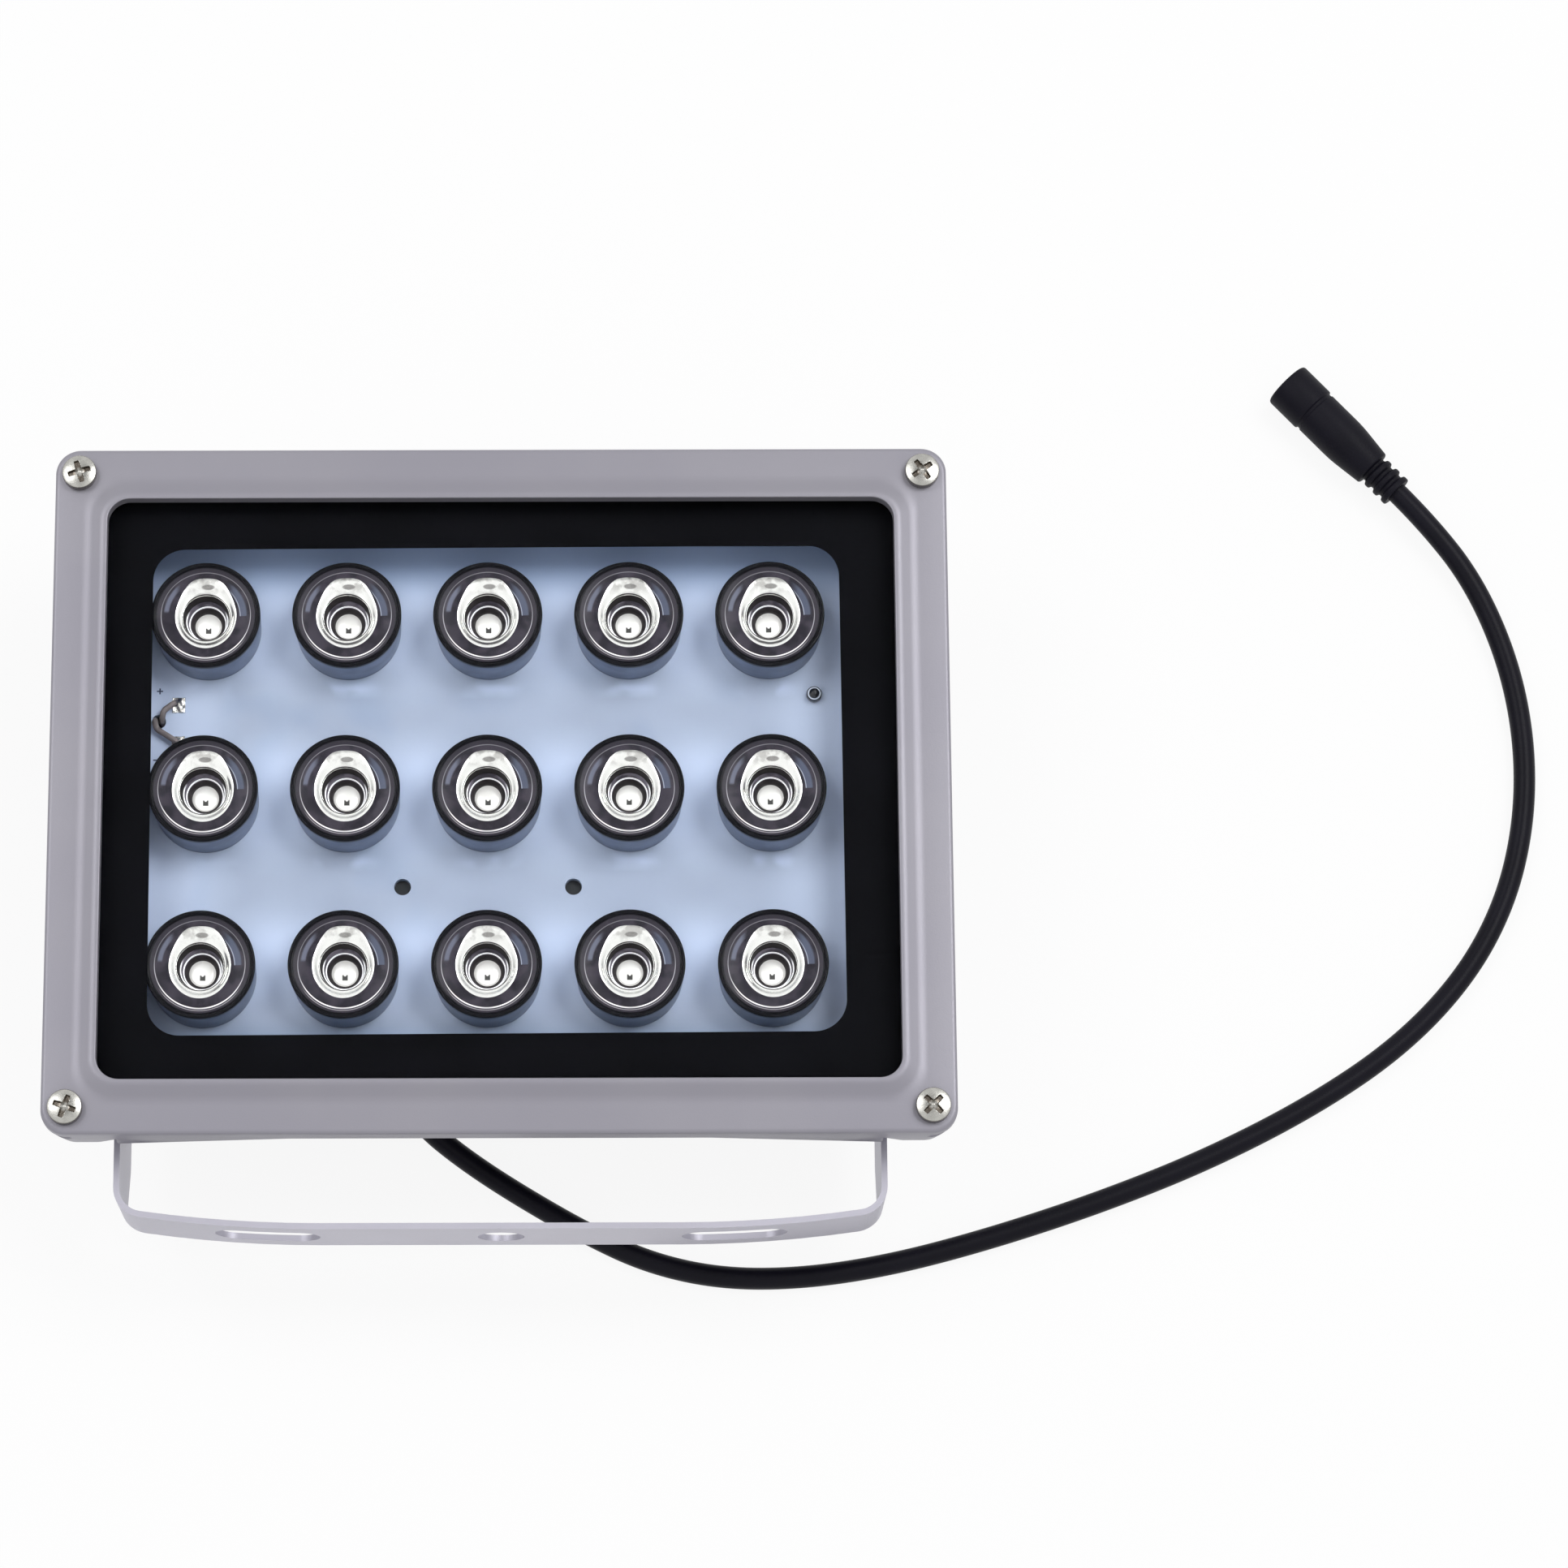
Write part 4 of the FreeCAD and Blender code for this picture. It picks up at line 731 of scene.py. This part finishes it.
# Each lamp's name, power in watts, diameter and place; each is aimed at the origin.
LAMPS = (("right_softbox", 15.0, 1.1, (0.95, 0.5, 1.85)), ("left_softbox", 9.0, 1.1, (-0.95, 0.5, 1.85)))
OPENING = (-0.02, 0.25, 0.968)  # the camera's direction as mirrored in the glass
ROOM_LIGHT = 0.52  # share of the surround's white that lights the object
FLOOR_GLOW = 0.9  # share of plain white in the floor as it is seen


class ILLUMINATOR_OT_stage(bpy.types.Operator):
    """Camera, soft lamps and the pale floor"""
    bl_idname = "illuminator.stage"
    bl_label = "Stage"

    def execute(self, context):
        """Places the camera where the photograph was taken, and lights the object evenly."""
        data = bpy.data.cameras.new("studio_camera")
        data.sensor_width = 36.0
        data.lens = CAMERA_LENS
        data.shift_x = CAMERA_SHIFT
        data.clip_start, data.clip_end = 0.05, 50.0
        camera = bpy.data.objects.new("studio_camera", data)
        back = CAMERA_RIGHT.cross(CAMERA_UP).normalized()
        matrix = Matrix((CAMERA_RIGHT, CAMERA_UP, back)).transposed().to_4x4()
        matrix.translation = CAMERA_PLACE
        camera.matrix_world = matrix
        context.scene.collection.objects.link(camera)
        context.scene.camera = camera
        context.scene.view_settings.view_transform = "Standard"
        for name, power, size, place in LAMPS:
            data = bpy.data.lights.new(name, "AREA")
            data.shape = "DISK"
            data.size = size
            data.energy = power
            lamp = bpy.data.objects.new(name, data)
            lamp.location = place
            lamp.rotation_euler = (-Vector(place)).to_track_quat("-Z", "Y").to_euler()
            context.scene.collection.objects.link(lamp)
        self.surround(context)
        self.floor(context, context.scene.illuminator_colours.floor)
        return {"FINISHED"}

    def surround(self, context):
        """White all round; polished faces see a darker opening overhead, where the camera stands."""
        world = bpy.data.worlds.new("studio_surround")
        world.use_nodes = True
        nodes = Nodes(world.node_tree)
        world.node_tree.nodes.clear()
        path = nodes.add("ShaderNodeLightPath").outputs
        towards = nodes.add("ShaderNodeTexCoord").outputs["Generated"]
        opening = nodes.add("ShaderNodeVectorMath", {0: towards, 1: OPENING}, operation="DOT_PRODUCT")
        overhead = nodes.ramp(opening.outputs["Value"], 0.93, 0.988, 1.0, 0.25)
        mirrored = nodes.mirrored(path)
        light = nodes.sum_of("MULTIPLY_ADD", path["Is Camera Ray"], 1.0 - ROOM_LIGHT, ROOM_LIGHT)
        strength = nodes.sum_of("ADD", nodes.product(mirrored, overhead),
                                nodes.product(nodes.difference(1.0, mirrored), light))
        surround = nodes.add("ShaderNodeBackground", {"Color": (1.0, 1.0, 1.0), "Strength": strength})
        nodes.add("ShaderNodeOutputWorld", {"Surface": surround.outputs[0]})
        context.scene.world = world

    def floor(self, context, colour):
        """A flat square of floor just under the object, brighter to the eye than its light makes it."""
        mesh = bpy.data.meshes.new("studio_floor")
        corners = np.array(((-4.0, -4.0, 0), (4.0, -4.0, 0), (4.0, 4.0, 0), (-4.0, 4.0, 0)))
        mesh.from_pydata(corners.tolist(), [], [(0, 1, 2, 3)])
        finish = Finish("studio_floor", Roughness=0.9, Specular_IOR_Level=0.0)
        finish.colour = finish.mixed(finish.noise(6.0, 2.0), colour, lighter(colour, 0.985))
        path = finish.add("ShaderNodeLightPath").outputs
        seen = finish.sum_of("MAXIMUM", path["Is Camera Ray"], finish.mirrored(path))
        glow = finish.add("ShaderNodeEmission", {"Color": (1.0, 1.0, 1.0), "Strength": 1.0})
        mesh.materials.append(finish.painted())
        finish.joined_by(finish.product(seen, FLOOR_GLOW), glow)
        floor = bpy.data.objects.new("studio_floor", mesh)
        context.scene.collection.objects.link(floor)


class ILLUMINATOR_OT_cord(bpy.types.Operator):
    """The cord along the floor, with its moulded connector and contacts"""
    bl_idname = "illuminator.cord"
    bl_label = "Cord and connector"

    def execute(self, context):
        """One smooth spline through the air and along the floor, and the connector on its end."""
        sizes, colours = values_of(context)
        base = colours.cord
        sleeve = moulded_finish("cord_sleeve", base, lighter(base, 1.3), 0.4, 0.012 * mm, gloss=0.12)
        shell = moulded_finish("connector_shell", base, lighter(base, 1.25), gloss=0.12)
        contact = metal_finish("plated_contact", shade(214, 210, 200), shade(196, 192, 182), roughness=0.22)
        curve = bpy.data.curves.new("power_cord_line", "CURVE")
        curve.dimensions = "3D"
        curve.bevel_depth = sizes.cord / 2
        curve.bevel_resolution = 6
        curve.resolution_u = 12
        curve.use_fill_caps = True
        spline = curve.splines.new("NURBS")
        spline.points.add(len(CORD_ROUTE) - 1)
        route = np.array(CORD_ROUTE) * mm
        spline.points.foreach_set("co", np.hstack([route, np.ones((len(route), 1))]).ravel())
        spline.order_u = 3
        spline.use_endpoint_u = True
        curve.materials.append(sleeve)
        cord = bpy.data.objects.new("power_cord_line", curve)
        context.scene.collection.objects.link(cord)
        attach(cord, "housing")
        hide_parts("power_cord")
        connector = self.connector(route, shell)
        contacts = [refined(node, contact) for node in ("dc_sleeve", "dc_pin")]
        return {"FINISHED"}

    def connector(self, route, material):
        """Turned shell: three soft ribs, a cone, the body, a neck groove and the open barrel."""
        rib = ((3.55, 0.2, 0.25), (3.55, 1.2, 0.3), (2.85, 1.55, 0.25), (2.85, 2.25, 0.25))
        ribs = [(radius, along + 2.4 * number, reach) for number in range(3) for radius, along, reach in rib]
        profile = ((0.0, 0.0, 0.0), (3.35, 0.0, 0.3), *ribs, (4.05, 7.2, 0.4), (4.95, 15.0, 2.0),
                   (4.95, 24.1, 0.15), (4.75, 24.25, 0.1), (4.75, 24.9, 0.1), (5.2, 25.1, 0.3),
                   (5.2, 33.0, 0.7), (3.2, 33.0, 0.3), (3.2, 23.0, 0.2), (0.0, 23.0, 0.0))
        shape = turned(softened(profile), route[-1], route[-1] - route[-2])
        return piece("connector_shell", shape, material, ("dc_connector",))


LIP_OVER_GLASS, PLAY_ROUND_GLASS, SEAT_CORNER = 2.3 * mm, 0.4 * mm, 7.2 * mm
# The corner of the bezel each screw is in, and its turn in degrees.
SCREW_TURNS = ((-1, 1, 17.0), (1, 1, 35.0), (-1, -1, -20.0), (1, -1, 45.0))


class ILLUMINATOR_OT_bezel(bpy.types.Operator):
    """The bezel and its four screws"""
    bl_idname = "illuminator.bezel"
    bl_label = "Bezel"

    def execute(self, context):
        """Carries the bezel's section round the panel and sets the screws in its corners."""
        sizes, colours = values_of(context)
        paint = paint_finish("bezel_enamel", colours.paint, colours.paint_shade).material
        half = (BEZEL_HIGH - BEZEL_LOW)[:2] / 2
        low, high = BEZEL_LOW[2], BEZEL_HIGH[2]
        flat, ledge = high - sizes.bezel_rise, high - sizes.lip_depth
        foot, crest = sizes.bezel_flat, sizes.bezel_flat + sizes.bezel_slope
        lip = half[0] - GLASS_HIGH[0] + LIP_OVER_GLASS
        seat = half[0] - GLASS_HIGH[0] - PLAY_ROUND_GLASS
        # inset, level, corner radius and reach of each corner of the section
        profile = np.array((
            (0.0, low, sizes.bezel_corner, 0.25 * mm), (0.0, flat, sizes.bezel_corner, sizes.bezel_edge),
            (foot, flat, sizes.foot_corner, 1.3 * mm), (crest, high, sizes.foot_corner - 1.9 * mm, 0.8 * mm),
            (lip, high, sizes.opening_corner, 0.35 * mm), (lip, ledge, sizes.opening_corner, 0.1 * mm),
            (seat, ledge, SEAT_CORNER, 0.1 * mm), (seat, low, SEAT_CORNER, 0.1 * mm)))
        shape = framed(eased_loop(profile[:, :3], profile[:, 3], 7), half, 14)
        piece("bezel_frame", shape, paint, ("front_bezel",), sharp=50)
        self.screws(sizes, screw_finish(colours))
        return {"FINISHED"}

    def screws(self, sizes, material):
        """Pan heads on a polar grid: the crown is rise (1 - r^2)^0.8 over the shoulder, and the cross
        recess is the lower of two crossed bars, each the larger of its two edge distances."""
        low, high = corners_of("bezel_screws")
        head, recess, shank = sizes.screw_head / 2, sizes.screw_recess, 2.0 * mm
        rise, arm, edge, depth = 0.55 * mm, 0.5 * mm, 0.18 * mm, 0.9 * mm
        flat = BEZEL_HIGH[2] - sizes.bezel_rise
        foot, top = low[2] - flat, high[2] - flat
        shoulder = top - rise
        side = eased(((0.0, foot), (shank, foot), (shank, 0.0), (head, 0.0), (head, shoulder),
                      (head * 0.97, shoulder + 0.12 * mm)), 0.12 * mm, 4)
        reach = np.linspace(0.955, 0.0, 46)[:, None]
        crown = np.hstack([reach * head, shoulder + rise * (1 - reach ** 2) ** 0.8])
        points, faces = turned(np.vstack([side, crown]), steps=144)
        upper = points[:, 2] > shoulder * 0.9
        across, along = high[:2] - head
        heads, depths = [], []
        for side_x, side_y, turn in SCREW_TURNS:
            flat_points = turned_flat(points[:, :2], -math.radians(turn))
            first, second = np.abs(flat_points).T
            bars = [np.maximum(one - recess, other - arm * (1.25 - 0.12 * one / mm))
                    for one, other in ((first, second), (second, first))]
            inside = np.clip(-np.minimum(*bars) / edge, 0, 1) * upper
            radius = np.hypot(first, second)
            deep = depth * (1 - 0.3 * radius / recess) * (1 - 0.6 * np.exp(-(radius / (0.7 * mm)) ** 2))
            sunk = np.outer(inside * deep, (0, 0, 1))
            heads.append((points - sunk + (side_x * across, side_y * along, flat), faces))
            depths.append(np.c_[flat_points / mm, inside])
        piece("bezel_screw_heads", together(heads), material, ("bezel_screws",),
              np.vstack(depths), sharp=35)


# The clear window in the print behind the glass: it sits a little askew, as printed.
WINDOW_INSET = np.array((12.1, 11.6)) * mm
WINDOW_SHIFT = np.array((-0.8, 0.9)) * mm
WINDOW_TURN = math.radians(0.26)
GLASS_CORNER = 6.6 * mm
GLASS_GAP = 0.02 * mm


class ILLUMINATOR_OT_glazing(bpy.types.Operator):
    """The glass, its printed border and its seal"""
    bl_idname = "illuminator.glazing"
    bl_label = "Glazing"

    def execute(self, context):
        """The print and the seal are rings just clear of the glass, whose own solid stays."""
        sizes, colours = values_of(context)
        border = Finish("black_print", Specular_IOR_Level=0.02)
        border.grain(colours.border, lighter(colours.border, 1.3), patch=60.0, scale=2500.0,
                     height=0.004 * mm, roughness=0.4, spread=0.05)
        seal = moulded_finish("glass_seal", colours.border, lighter(colours.border, 1.2), roughness=0.6)
        dress("glass_pane", glass_finish())
        half = (GLASS_HIGH - GLASS_LOW)[:2] / 2 - 0.1 * mm
        top, low = GLASS_LOW[2] - GLASS_GAP, BORDER_LOW[2]
        outer = rounded_outline(*half, GLASS_CORNER, 14)[0]
        window = rounded_outline(*(half - WINDOW_INSET), sizes.window_corner, 14)[0]
        window = turned_flat(window, WINDOW_TURN) + WINDOW_SHIFT
        shape = stacked(np.array((outer, outer, window, window)), (low, top, top, low), closed=True)
        piece("border_print", shape, border.material, ("glass_border",))
        foot = corners_of("glass_gasket")[0, 2]
        width, inner_corner = 4.0 * mm, 2.9 * mm
        profile = ((0.0, foot, GLASS_CORNER), (0.0, low - GLASS_GAP, GLASS_CORNER),
                   (width, low - GLASS_GAP, inner_corner), (width, foot, inner_corner))
        shape = framed(eased_loop(profile, 0.1 * mm, 3), half)
        piece("glass_seal", shape, seal, ("glass_gasket",))
        return {"FINISHED"}


SHARE = np.linspace(0, 1, 14)[:, None]  # the way from a lens surface's outer outline to its inner one
LENS_ANGLE = np.linspace(0, 2 * np.pi, 128, endpoint=False)
BORE_SHIFT = -0.2 * mm  # the bores lie a little below the middle of their lenses
REFLECTOR_FOOT, RIM_WIDTH = 0.65 * mm, 0.72 * mm


class ILLUMINATOR_OT_lenses(bpy.types.Operator):
    """The fifteen lenses and emitters"""
    bl_idname = "illuminator.lenses"
    bl_label = "Lenses"

    def execute(self, context):
        """Each kind of surface is made once about the middle line and repeated at the fifteen places."""
        sizes, colours = values_of(context)
        self.height = LENS_BOXES[0, 1, 2] - BOARD_HIGH[2]
        self.outer = (LENS_BOXES[0, 1, 0] - LENS_BOXES[0, 0, 0]) / 2
        egg = self.egg(sizes)
        self.barrels(barrel_finish(colours))
        # the face falls by a quarter of a sine; the reflector falls evenly, eased at both ends
        fall = (0.1 + 0.55 * np.sin(SHARE * np.pi / 2)) * mm
        face = self.shell(self.outer - RIM_WIDTH, egg - 0.05 * mm, fall, 0.5 * mm)
        self.spread("lens_faces", face, lens_face_finish(colours))
        fall = (0.66 + 0.88 * (SHARE - np.sin(2 * np.pi * SHARE) / (4 * np.pi))) * mm
        funnel = self.shell(egg, sizes.bore, fall, 0.6 * mm, BORE_SHIFT)
        self.spread("lens_reflectors", funnel, reflector_finish(colours))
        self.bores(sizes, bore_finish())
        self.domes(sizes, dome_finish())
        return {"FINISHED"}

    def spread(self, name, shape, material, slot="lens_acrylic", stands_for=()):
        """Repeats a shape at every lens and keeps each point's place in its own lens."""
        points, faces = shape
        many = together([(points + place, faces) for place in LENS_PLACES])
        piece(name, many, material, stands_for, np.tile(points / mm, (len(LENS_PLACES), 1)), sharp=50)

    def barrels(self, material):
        """Tapered barrel with a rounded shoulder, hollow inside."""
        foot, outer, height = 10.6, self.outer / mm, self.height / mm
        profile = ((foot, 0.0, 0.1), (outer, height, 0.3), (outer - 0.7, height, 0.15),
                   (outer - 0.75, height - 1.0, 0.1), (foot - 1.0, 0.0, 0.1))
        shape = turned(softened(profile, closed=True), closed=True)
        self.spread("lens_barrels", shape, material, stands_for=LENSES)

    def egg(self, sizes):
        """Outline of the reflector: r = side + top sin^4 a above and side + foot sin^2 a below.

        This bound f and the flat crown's bound c are joined as (f^-n + c^-n)^(-1/n), with n = 18.
        """
        rise, fall = np.clip(np.sin(LENS_ANGLE), 0, 1), np.clip(-np.sin(LENS_ANGLE), 0, 1)
        full = (sizes.reflector_side + sizes.reflector_top * rise ** 4 + REFLECTOR_FOOT * fall ** 2) / mm
        crown = sizes.reflector_crown / np.maximum(rise, 0.4) / mm
        return (full ** -18 + crown ** -18) ** (-1 / 18) * mm

    def shell(self, first, last, fall, thick, lean=0.0):
        """Thin ring between two outlines: radius = first (1 - s) + last s, a fall below the rim's height."""
        radius = first * (1 - SHARE) + last * SHARE
        y = radius * np.sin(LENS_ANGLE) + lean * SHARE
        upper = np.stack([radius * np.cos(LENS_ANGLE), y, np.broadcast_to(self.height - fall, y.shape)], -1)
        points = np.vstack([upper, upper[::-1] - (0, 0, thick)]).reshape(-1, 3)
        return points, facing_out(points, grid_faces(2 * len(SHARE), len(LENS_ANGLE), closed_rows=True))

    def bores(self, sizes, material):
        """Stepped cup: wall, first bright step, cone, second bright step, cone down to the emitter."""
        inner = np.array(((sizes.bore / mm + 0.05, 9.6), (4.3, 6.25), (4.06, 6.05), (3.8, 4.35), (3.58, 4.15),
                          (2.85, 3.2), (2.65, 2.3)))
        back = inner[::-1] + (0.5, -0.25)
        profile = eased_loop(np.vstack([inner, back]), 0.12, 4) * mm
        points, faces = turned(profile, steps=80, closed=True)
        rise = np.clip((points[:, 2] - 6.0 * mm) / (3.6 * mm), 0, 1)
        self.spread("lens_bores", (points + rise[:, None] * np.array((0, BORE_SHIFT, 0)), faces), material)

    def domes(self, sizes, material):
        """Low bright disc with a rounded edge on the emitter's round base."""
        turn = np.linspace(0, 1, 12) * np.pi / 2
        disc, base = sizes.dome / mm, 3.9
        cap = np.stack([disc * np.sin(turn), 2.1 + 0.25 * np.cos(turn)], -1)
        side = eased(((disc, 2.1), (disc + 0.05, 1.5), (base, 1.4), (base, 0.0), (0.0, 0.0)), 0.12, 3)
        profile = np.vstack([cap, side]) * mm
        self.spread("emitter_domes", turned(profile, steps=72), material, "emitter_resin", EMITTERS)


class ILLUMINATOR_OT_board(bpy.types.Operator):
    """The circuit board, its marks, pads, wires and light cell"""
    bl_idname = "illuminator.board"
    bl_label = "Board"

    def execute(self, context):
        """The board's own solid stays; what stands on it is made in finer detail."""
        colours = context.scene.illuminator_colours
        dress("circuit_board", board_finish(colours))
        wire = moulded_finish("wire_sleeve", colours.wire, lighter(colours.wire, 0.8), 0.4, 0.01 * mm)
        for node in ("wire_positive", "wire_negative"):
            refined(node, wire, sharp=50)
        self.marks()
        self.pads()
        self.sensor()
        return {"FINISHED"}

    def marks(self):
        """Printed plus and minus beside the pads: low bars with softened edges."""
        ink = moulded_finish("board_ink", shade(36, 44, 74), shade(48, 56, 88), roughness=0.6)
        level = BOARD_HIGH[2]
        below, above = level - 0.05 * mm, level + 0.03 * mm
        bars = []
        plus, minus, long, short = (-69.5, 24.5), (-70.0, 10.0), 0.62, 0.14
        for centre, half in ((plus, (long, short)), (plus, (short, long)), (minus, (long, short))):
            centre, half = np.array(centre) * mm, np.array(half) * mm
            bars.append(block((*(centre - half), below), (*(centre + half), above), 0.02 * mm))
        piece("board_marks", together(bars), ink)

    def pads(self):
        """Tinned pads: a grid whose height is a block with soft edges, two crossed waves and a bead."""
        tin = metal_finish("bright_tin", shade(244, 243, 238), shade(196, 193, 188), roughness=0.2,
                           patch=1300.0, height=0.06 * mm)
        low, high = corners_of("solder_pads")
        level, count = BOARD_HIGH[2], 40
        across, along = np.meshgrid(np.linspace(-1, 1, count), np.linspace(-1, 1, count), indexing="ij")
        edge = np.clip(12 * (1 - np.maximum(np.abs(across), np.abs(along))), 0, 1) ** 0.5
        lump = 0.5 + 0.25 * np.sin(5.1 * across + 2 * along + 0.7) + 0.25 * np.sin(4.3 * along - 2.6 * across)
        bead = np.exp(-((across / 0.55) ** 2 + (along / 0.6) ** 2) * 1.6)
        height = level + edge * (0.2 + 0.28 * lump + 0.4 * bead) * mm
        faces = grid_faces(count, count, closed_columns=False)
        last = count * count
        rim = np.concatenate([np.arange(count), np.arange(2 * count - 1, last, count),
                              np.arange(last - 2, last - count - 1, -1),
                              np.arange(last - 2 * count, 0, -count)])
        after = np.roll(rim, -1)
        sides = np.stack([rim, rim + last, after + last, after], -1)
        every = np.vstack([faces, faces[:, ::-1] + last, sides])
        half = np.array((1.35, 1.65)) * mm
        shapes = []
        for y in (high[1] - half[1], low[1] + half[1]):
            x = low[0] + half[0]
            top = np.stack([x + across * half[0], y + along * half[1], height], -1).reshape(-1, 3)
            points = np.vstack([top, top * (1, 1, 0) + (0, 0, level - 0.02 * mm)])
            shapes.append((points, facing_out(points, every)))
        piece("tinned_pads", together(shapes), tin, ("solder_pads",), sharp=60)

    def sensor(self):
        """Turned light cell with a low collar, a groove and a domed middle."""
        low, high = corners_of("light_sensor")
        centre = (low + high) / 2 * (1, 1, 0) + (0, 0, low[2])
        radius, tall = (high - low)[[0, 2]] / (2 * mm, mm)
        profile = ((0.0, 0.0, 0.0), (radius, 0.0, 0.1), (radius, 0.6 * tall, 0.1), (1.35, 0.7 * tall, 0.1),
                   (1.3, 0.62 * tall, 0.1), (1.08, 0.62 * tall, 0.1), (1.0, 0.85 * tall, 0.1),
                   (0.45, tall, 0.1), (0.0, tall, 0.0))
        points, faces = turned(softened(profile, 4), steps=64)
        shape = (points + centre, faces)
        piece("light_cell", shape, sensor_finish(), ("light_sensor",), points / mm)


class ILLUMINATOR_OT_casing(bpy.types.Operator):
    """The finned casting, its driver cover and everything on its back"""
    bl_idname = "illuminator.casing"
    bl_label = "Casing"

    def execute(self, context):
        """Refines the castings' own surfaces, and dresses what sits inside them."""
        sizes, colours = values_of(context)
        enamel = casing_finish(colours)
        rubber = moulded_finish("soft_rubber", shade(20, 20, 22), shade(28, 28, 30), roughness=0.7)
        zinc = metal_finish("zinc_plate", shade(188, 190, 194), shade(160, 162, 168), roughness=0.32)
        nylon = moulded_finish("pale_nylon", shade(226, 224, 216), shade(214, 212, 204), roughness=0.5)
        black = moulded_finish("gland_nylon", shade(22, 22, 24), shade(32, 32, 35), roughness=0.45)
        green = moulded_finish("driver_board", shade(34, 84, 52), shade(26, 70, 42), roughness=0.4)
        ferrite = moulded_finish("ferrite", shade(58, 56, 58), shade(70, 66, 62), roughness=0.6)
        can = moulded_finish("capacitor_sleeve", shade(24, 24, 28), shade(34, 34, 40), roughness=0.3)
        for node, material, slot in (
                ("rear_housing", enamel, "silver_paint"), ("compartment_cover", enamel, "silver_paint"),
                ("cover_gasket", rubber, "black_silicone"), ("cover_screws", zinc, "zinc_steel"),
                ("gland_body", black, "black_nylon"), ("gland_seal", rubber, "black_rubber"),
                ("pivot_bolts", zinc, "zinc_steel"), ("flat_washers", zinc, "zinc_steel"),
                ("spring_washers", zinc, "zinc_steel"), ("friction_washers", nylon, "white_nylon"),
                ("driver_board", green, "driver_green"), ("driver_screws", zinc, "zinc_steel"),
                ("inductor", ferrite, "ferrite"), ("capacitor", can, "capacitor_sleeve")):
            refined(node, material)
        self.nut(sizes, black)
        return {"FINISHED"}

    def nut(self, sizes, material):
        """Clamping nut: a turned dome whose radius dips between the ribs by a rounded square wave."""
        low, high = corners_of("gland_nut")
        centre = np.array(((low[0] + high[0]) / 2, high[1], (low[2] + high[2]) / 2))
        outer, deep = (high - low)[:2] / (2 * mm, mm)
        corners = ((6.0, 0.0, 0.2), (outer, 0.0, 0.5), (outer, 5.4, 1.2), (6.9, 7.4, 1.2), (5.2, deep, 0.4),
                   (4.2, deep, 0.2), (4.2, 5.0, 0.3), (6.0, 4.0, 0.3))
        profile = softened(corners, 6, closed=True)
        steps = 240
        angle = np.linspace(0, 2 * np.pi, steps, endpoint=False)
        groove = 0.25 * mm * (1 - np.clip(1.6 * np.cos(sizes.nut_ribs * angle), -1, 1))
        radius, along = profile.T / mm
        gripped = (radius > outer - 0.7) & (along > 0.6) & (along < 5.2)
        change = -np.outer(gripped, groove)
        shape = turned(profile, centre, (0, -1, 0), steps, closed=True, radius_change=change)
        piece("gland_nut_ribbed", shape, material, ("gland_nut",))


class ILLUMINATOR_OT_bracket(bpy.types.Operator):
    """The bent strap that carries the lamp"""
    bl_idname = "illuminator.bracket"
    bl_label = "Bracket"

    def execute(self, context):
        """The strap's own surface, shaded smooth, with powder coat."""
        colours = context.scene.illuminator_colours
        coat = paint_finish("bracket_coat", colours.strap, lighter(colours.strap, 0.94)).material
        refined("bracket", coat, body="bracket")
        return {"FINISHED"}


class ILLUMINATOR_PT_panel(bpy.types.Panel):
    """Sizes, colours and the steps that build the lamp"""
    bl_idname = "ILLUMINATOR_PT_panel"
    bl_label = "Infrared illuminator"
    bl_space_type = "VIEW_3D"
    bl_region_type = "UI"
    bl_category = "Illuminator"

    def draw(self, context):
        """Lists every size, every colour and every step."""
        layout = self.layout
        for group in (context.scene.illuminator_sizes, context.scene.illuminator_colours):
            box = layout.box()
            for name in group.__annotations__:
                box.prop(group, name, text=name.replace("_", " ").capitalize())
        for step in STEPS:
            layout.operator(step.bl_idname)


STEPS = (ILLUMINATOR_OT_stage, ILLUMINATOR_OT_cord, ILLUMINATOR_OT_bezel, ILLUMINATOR_OT_glazing,
         ILLUMINATOR_OT_lenses, ILLUMINATOR_OT_board, ILLUMINATOR_OT_casing, ILLUMINATOR_OT_bracket)
CLASSES = (IlluminatorSizes, IlluminatorColours, *STEPS, ILLUMINATOR_PT_panel)


def register():
    """Adds the classes and the two groups of values."""
    for each in CLASSES:
        bpy.utils.register_class(each)
    bpy.types.Scene.illuminator_sizes = PointerProperty(type=IlluminatorSizes)
    bpy.types.Scene.illuminator_colours = PointerProperty(type=IlluminatorColours)


def unregister():
    """Takes them away again."""
    del bpy.types.Scene.illuminator_colours
    del bpy.types.Scene.illuminator_sizes
    for each in reversed(CLASSES):
        bpy.utils.unregister_class(each)


def main():
    """Builds everything in order."""
    register()
    bpy.ops.illuminator.stage()
    bpy.ops.illuminator.cord()
    bpy.ops.illuminator.bezel()
    bpy.ops.illuminator.glazing()
    bpy.ops.illuminator.lenses()
    bpy.ops.illuminator.board()
    bpy.ops.illuminator.casing()
    bpy.ops.illuminator.bracket()


if __name__ == "__main__":
    main()
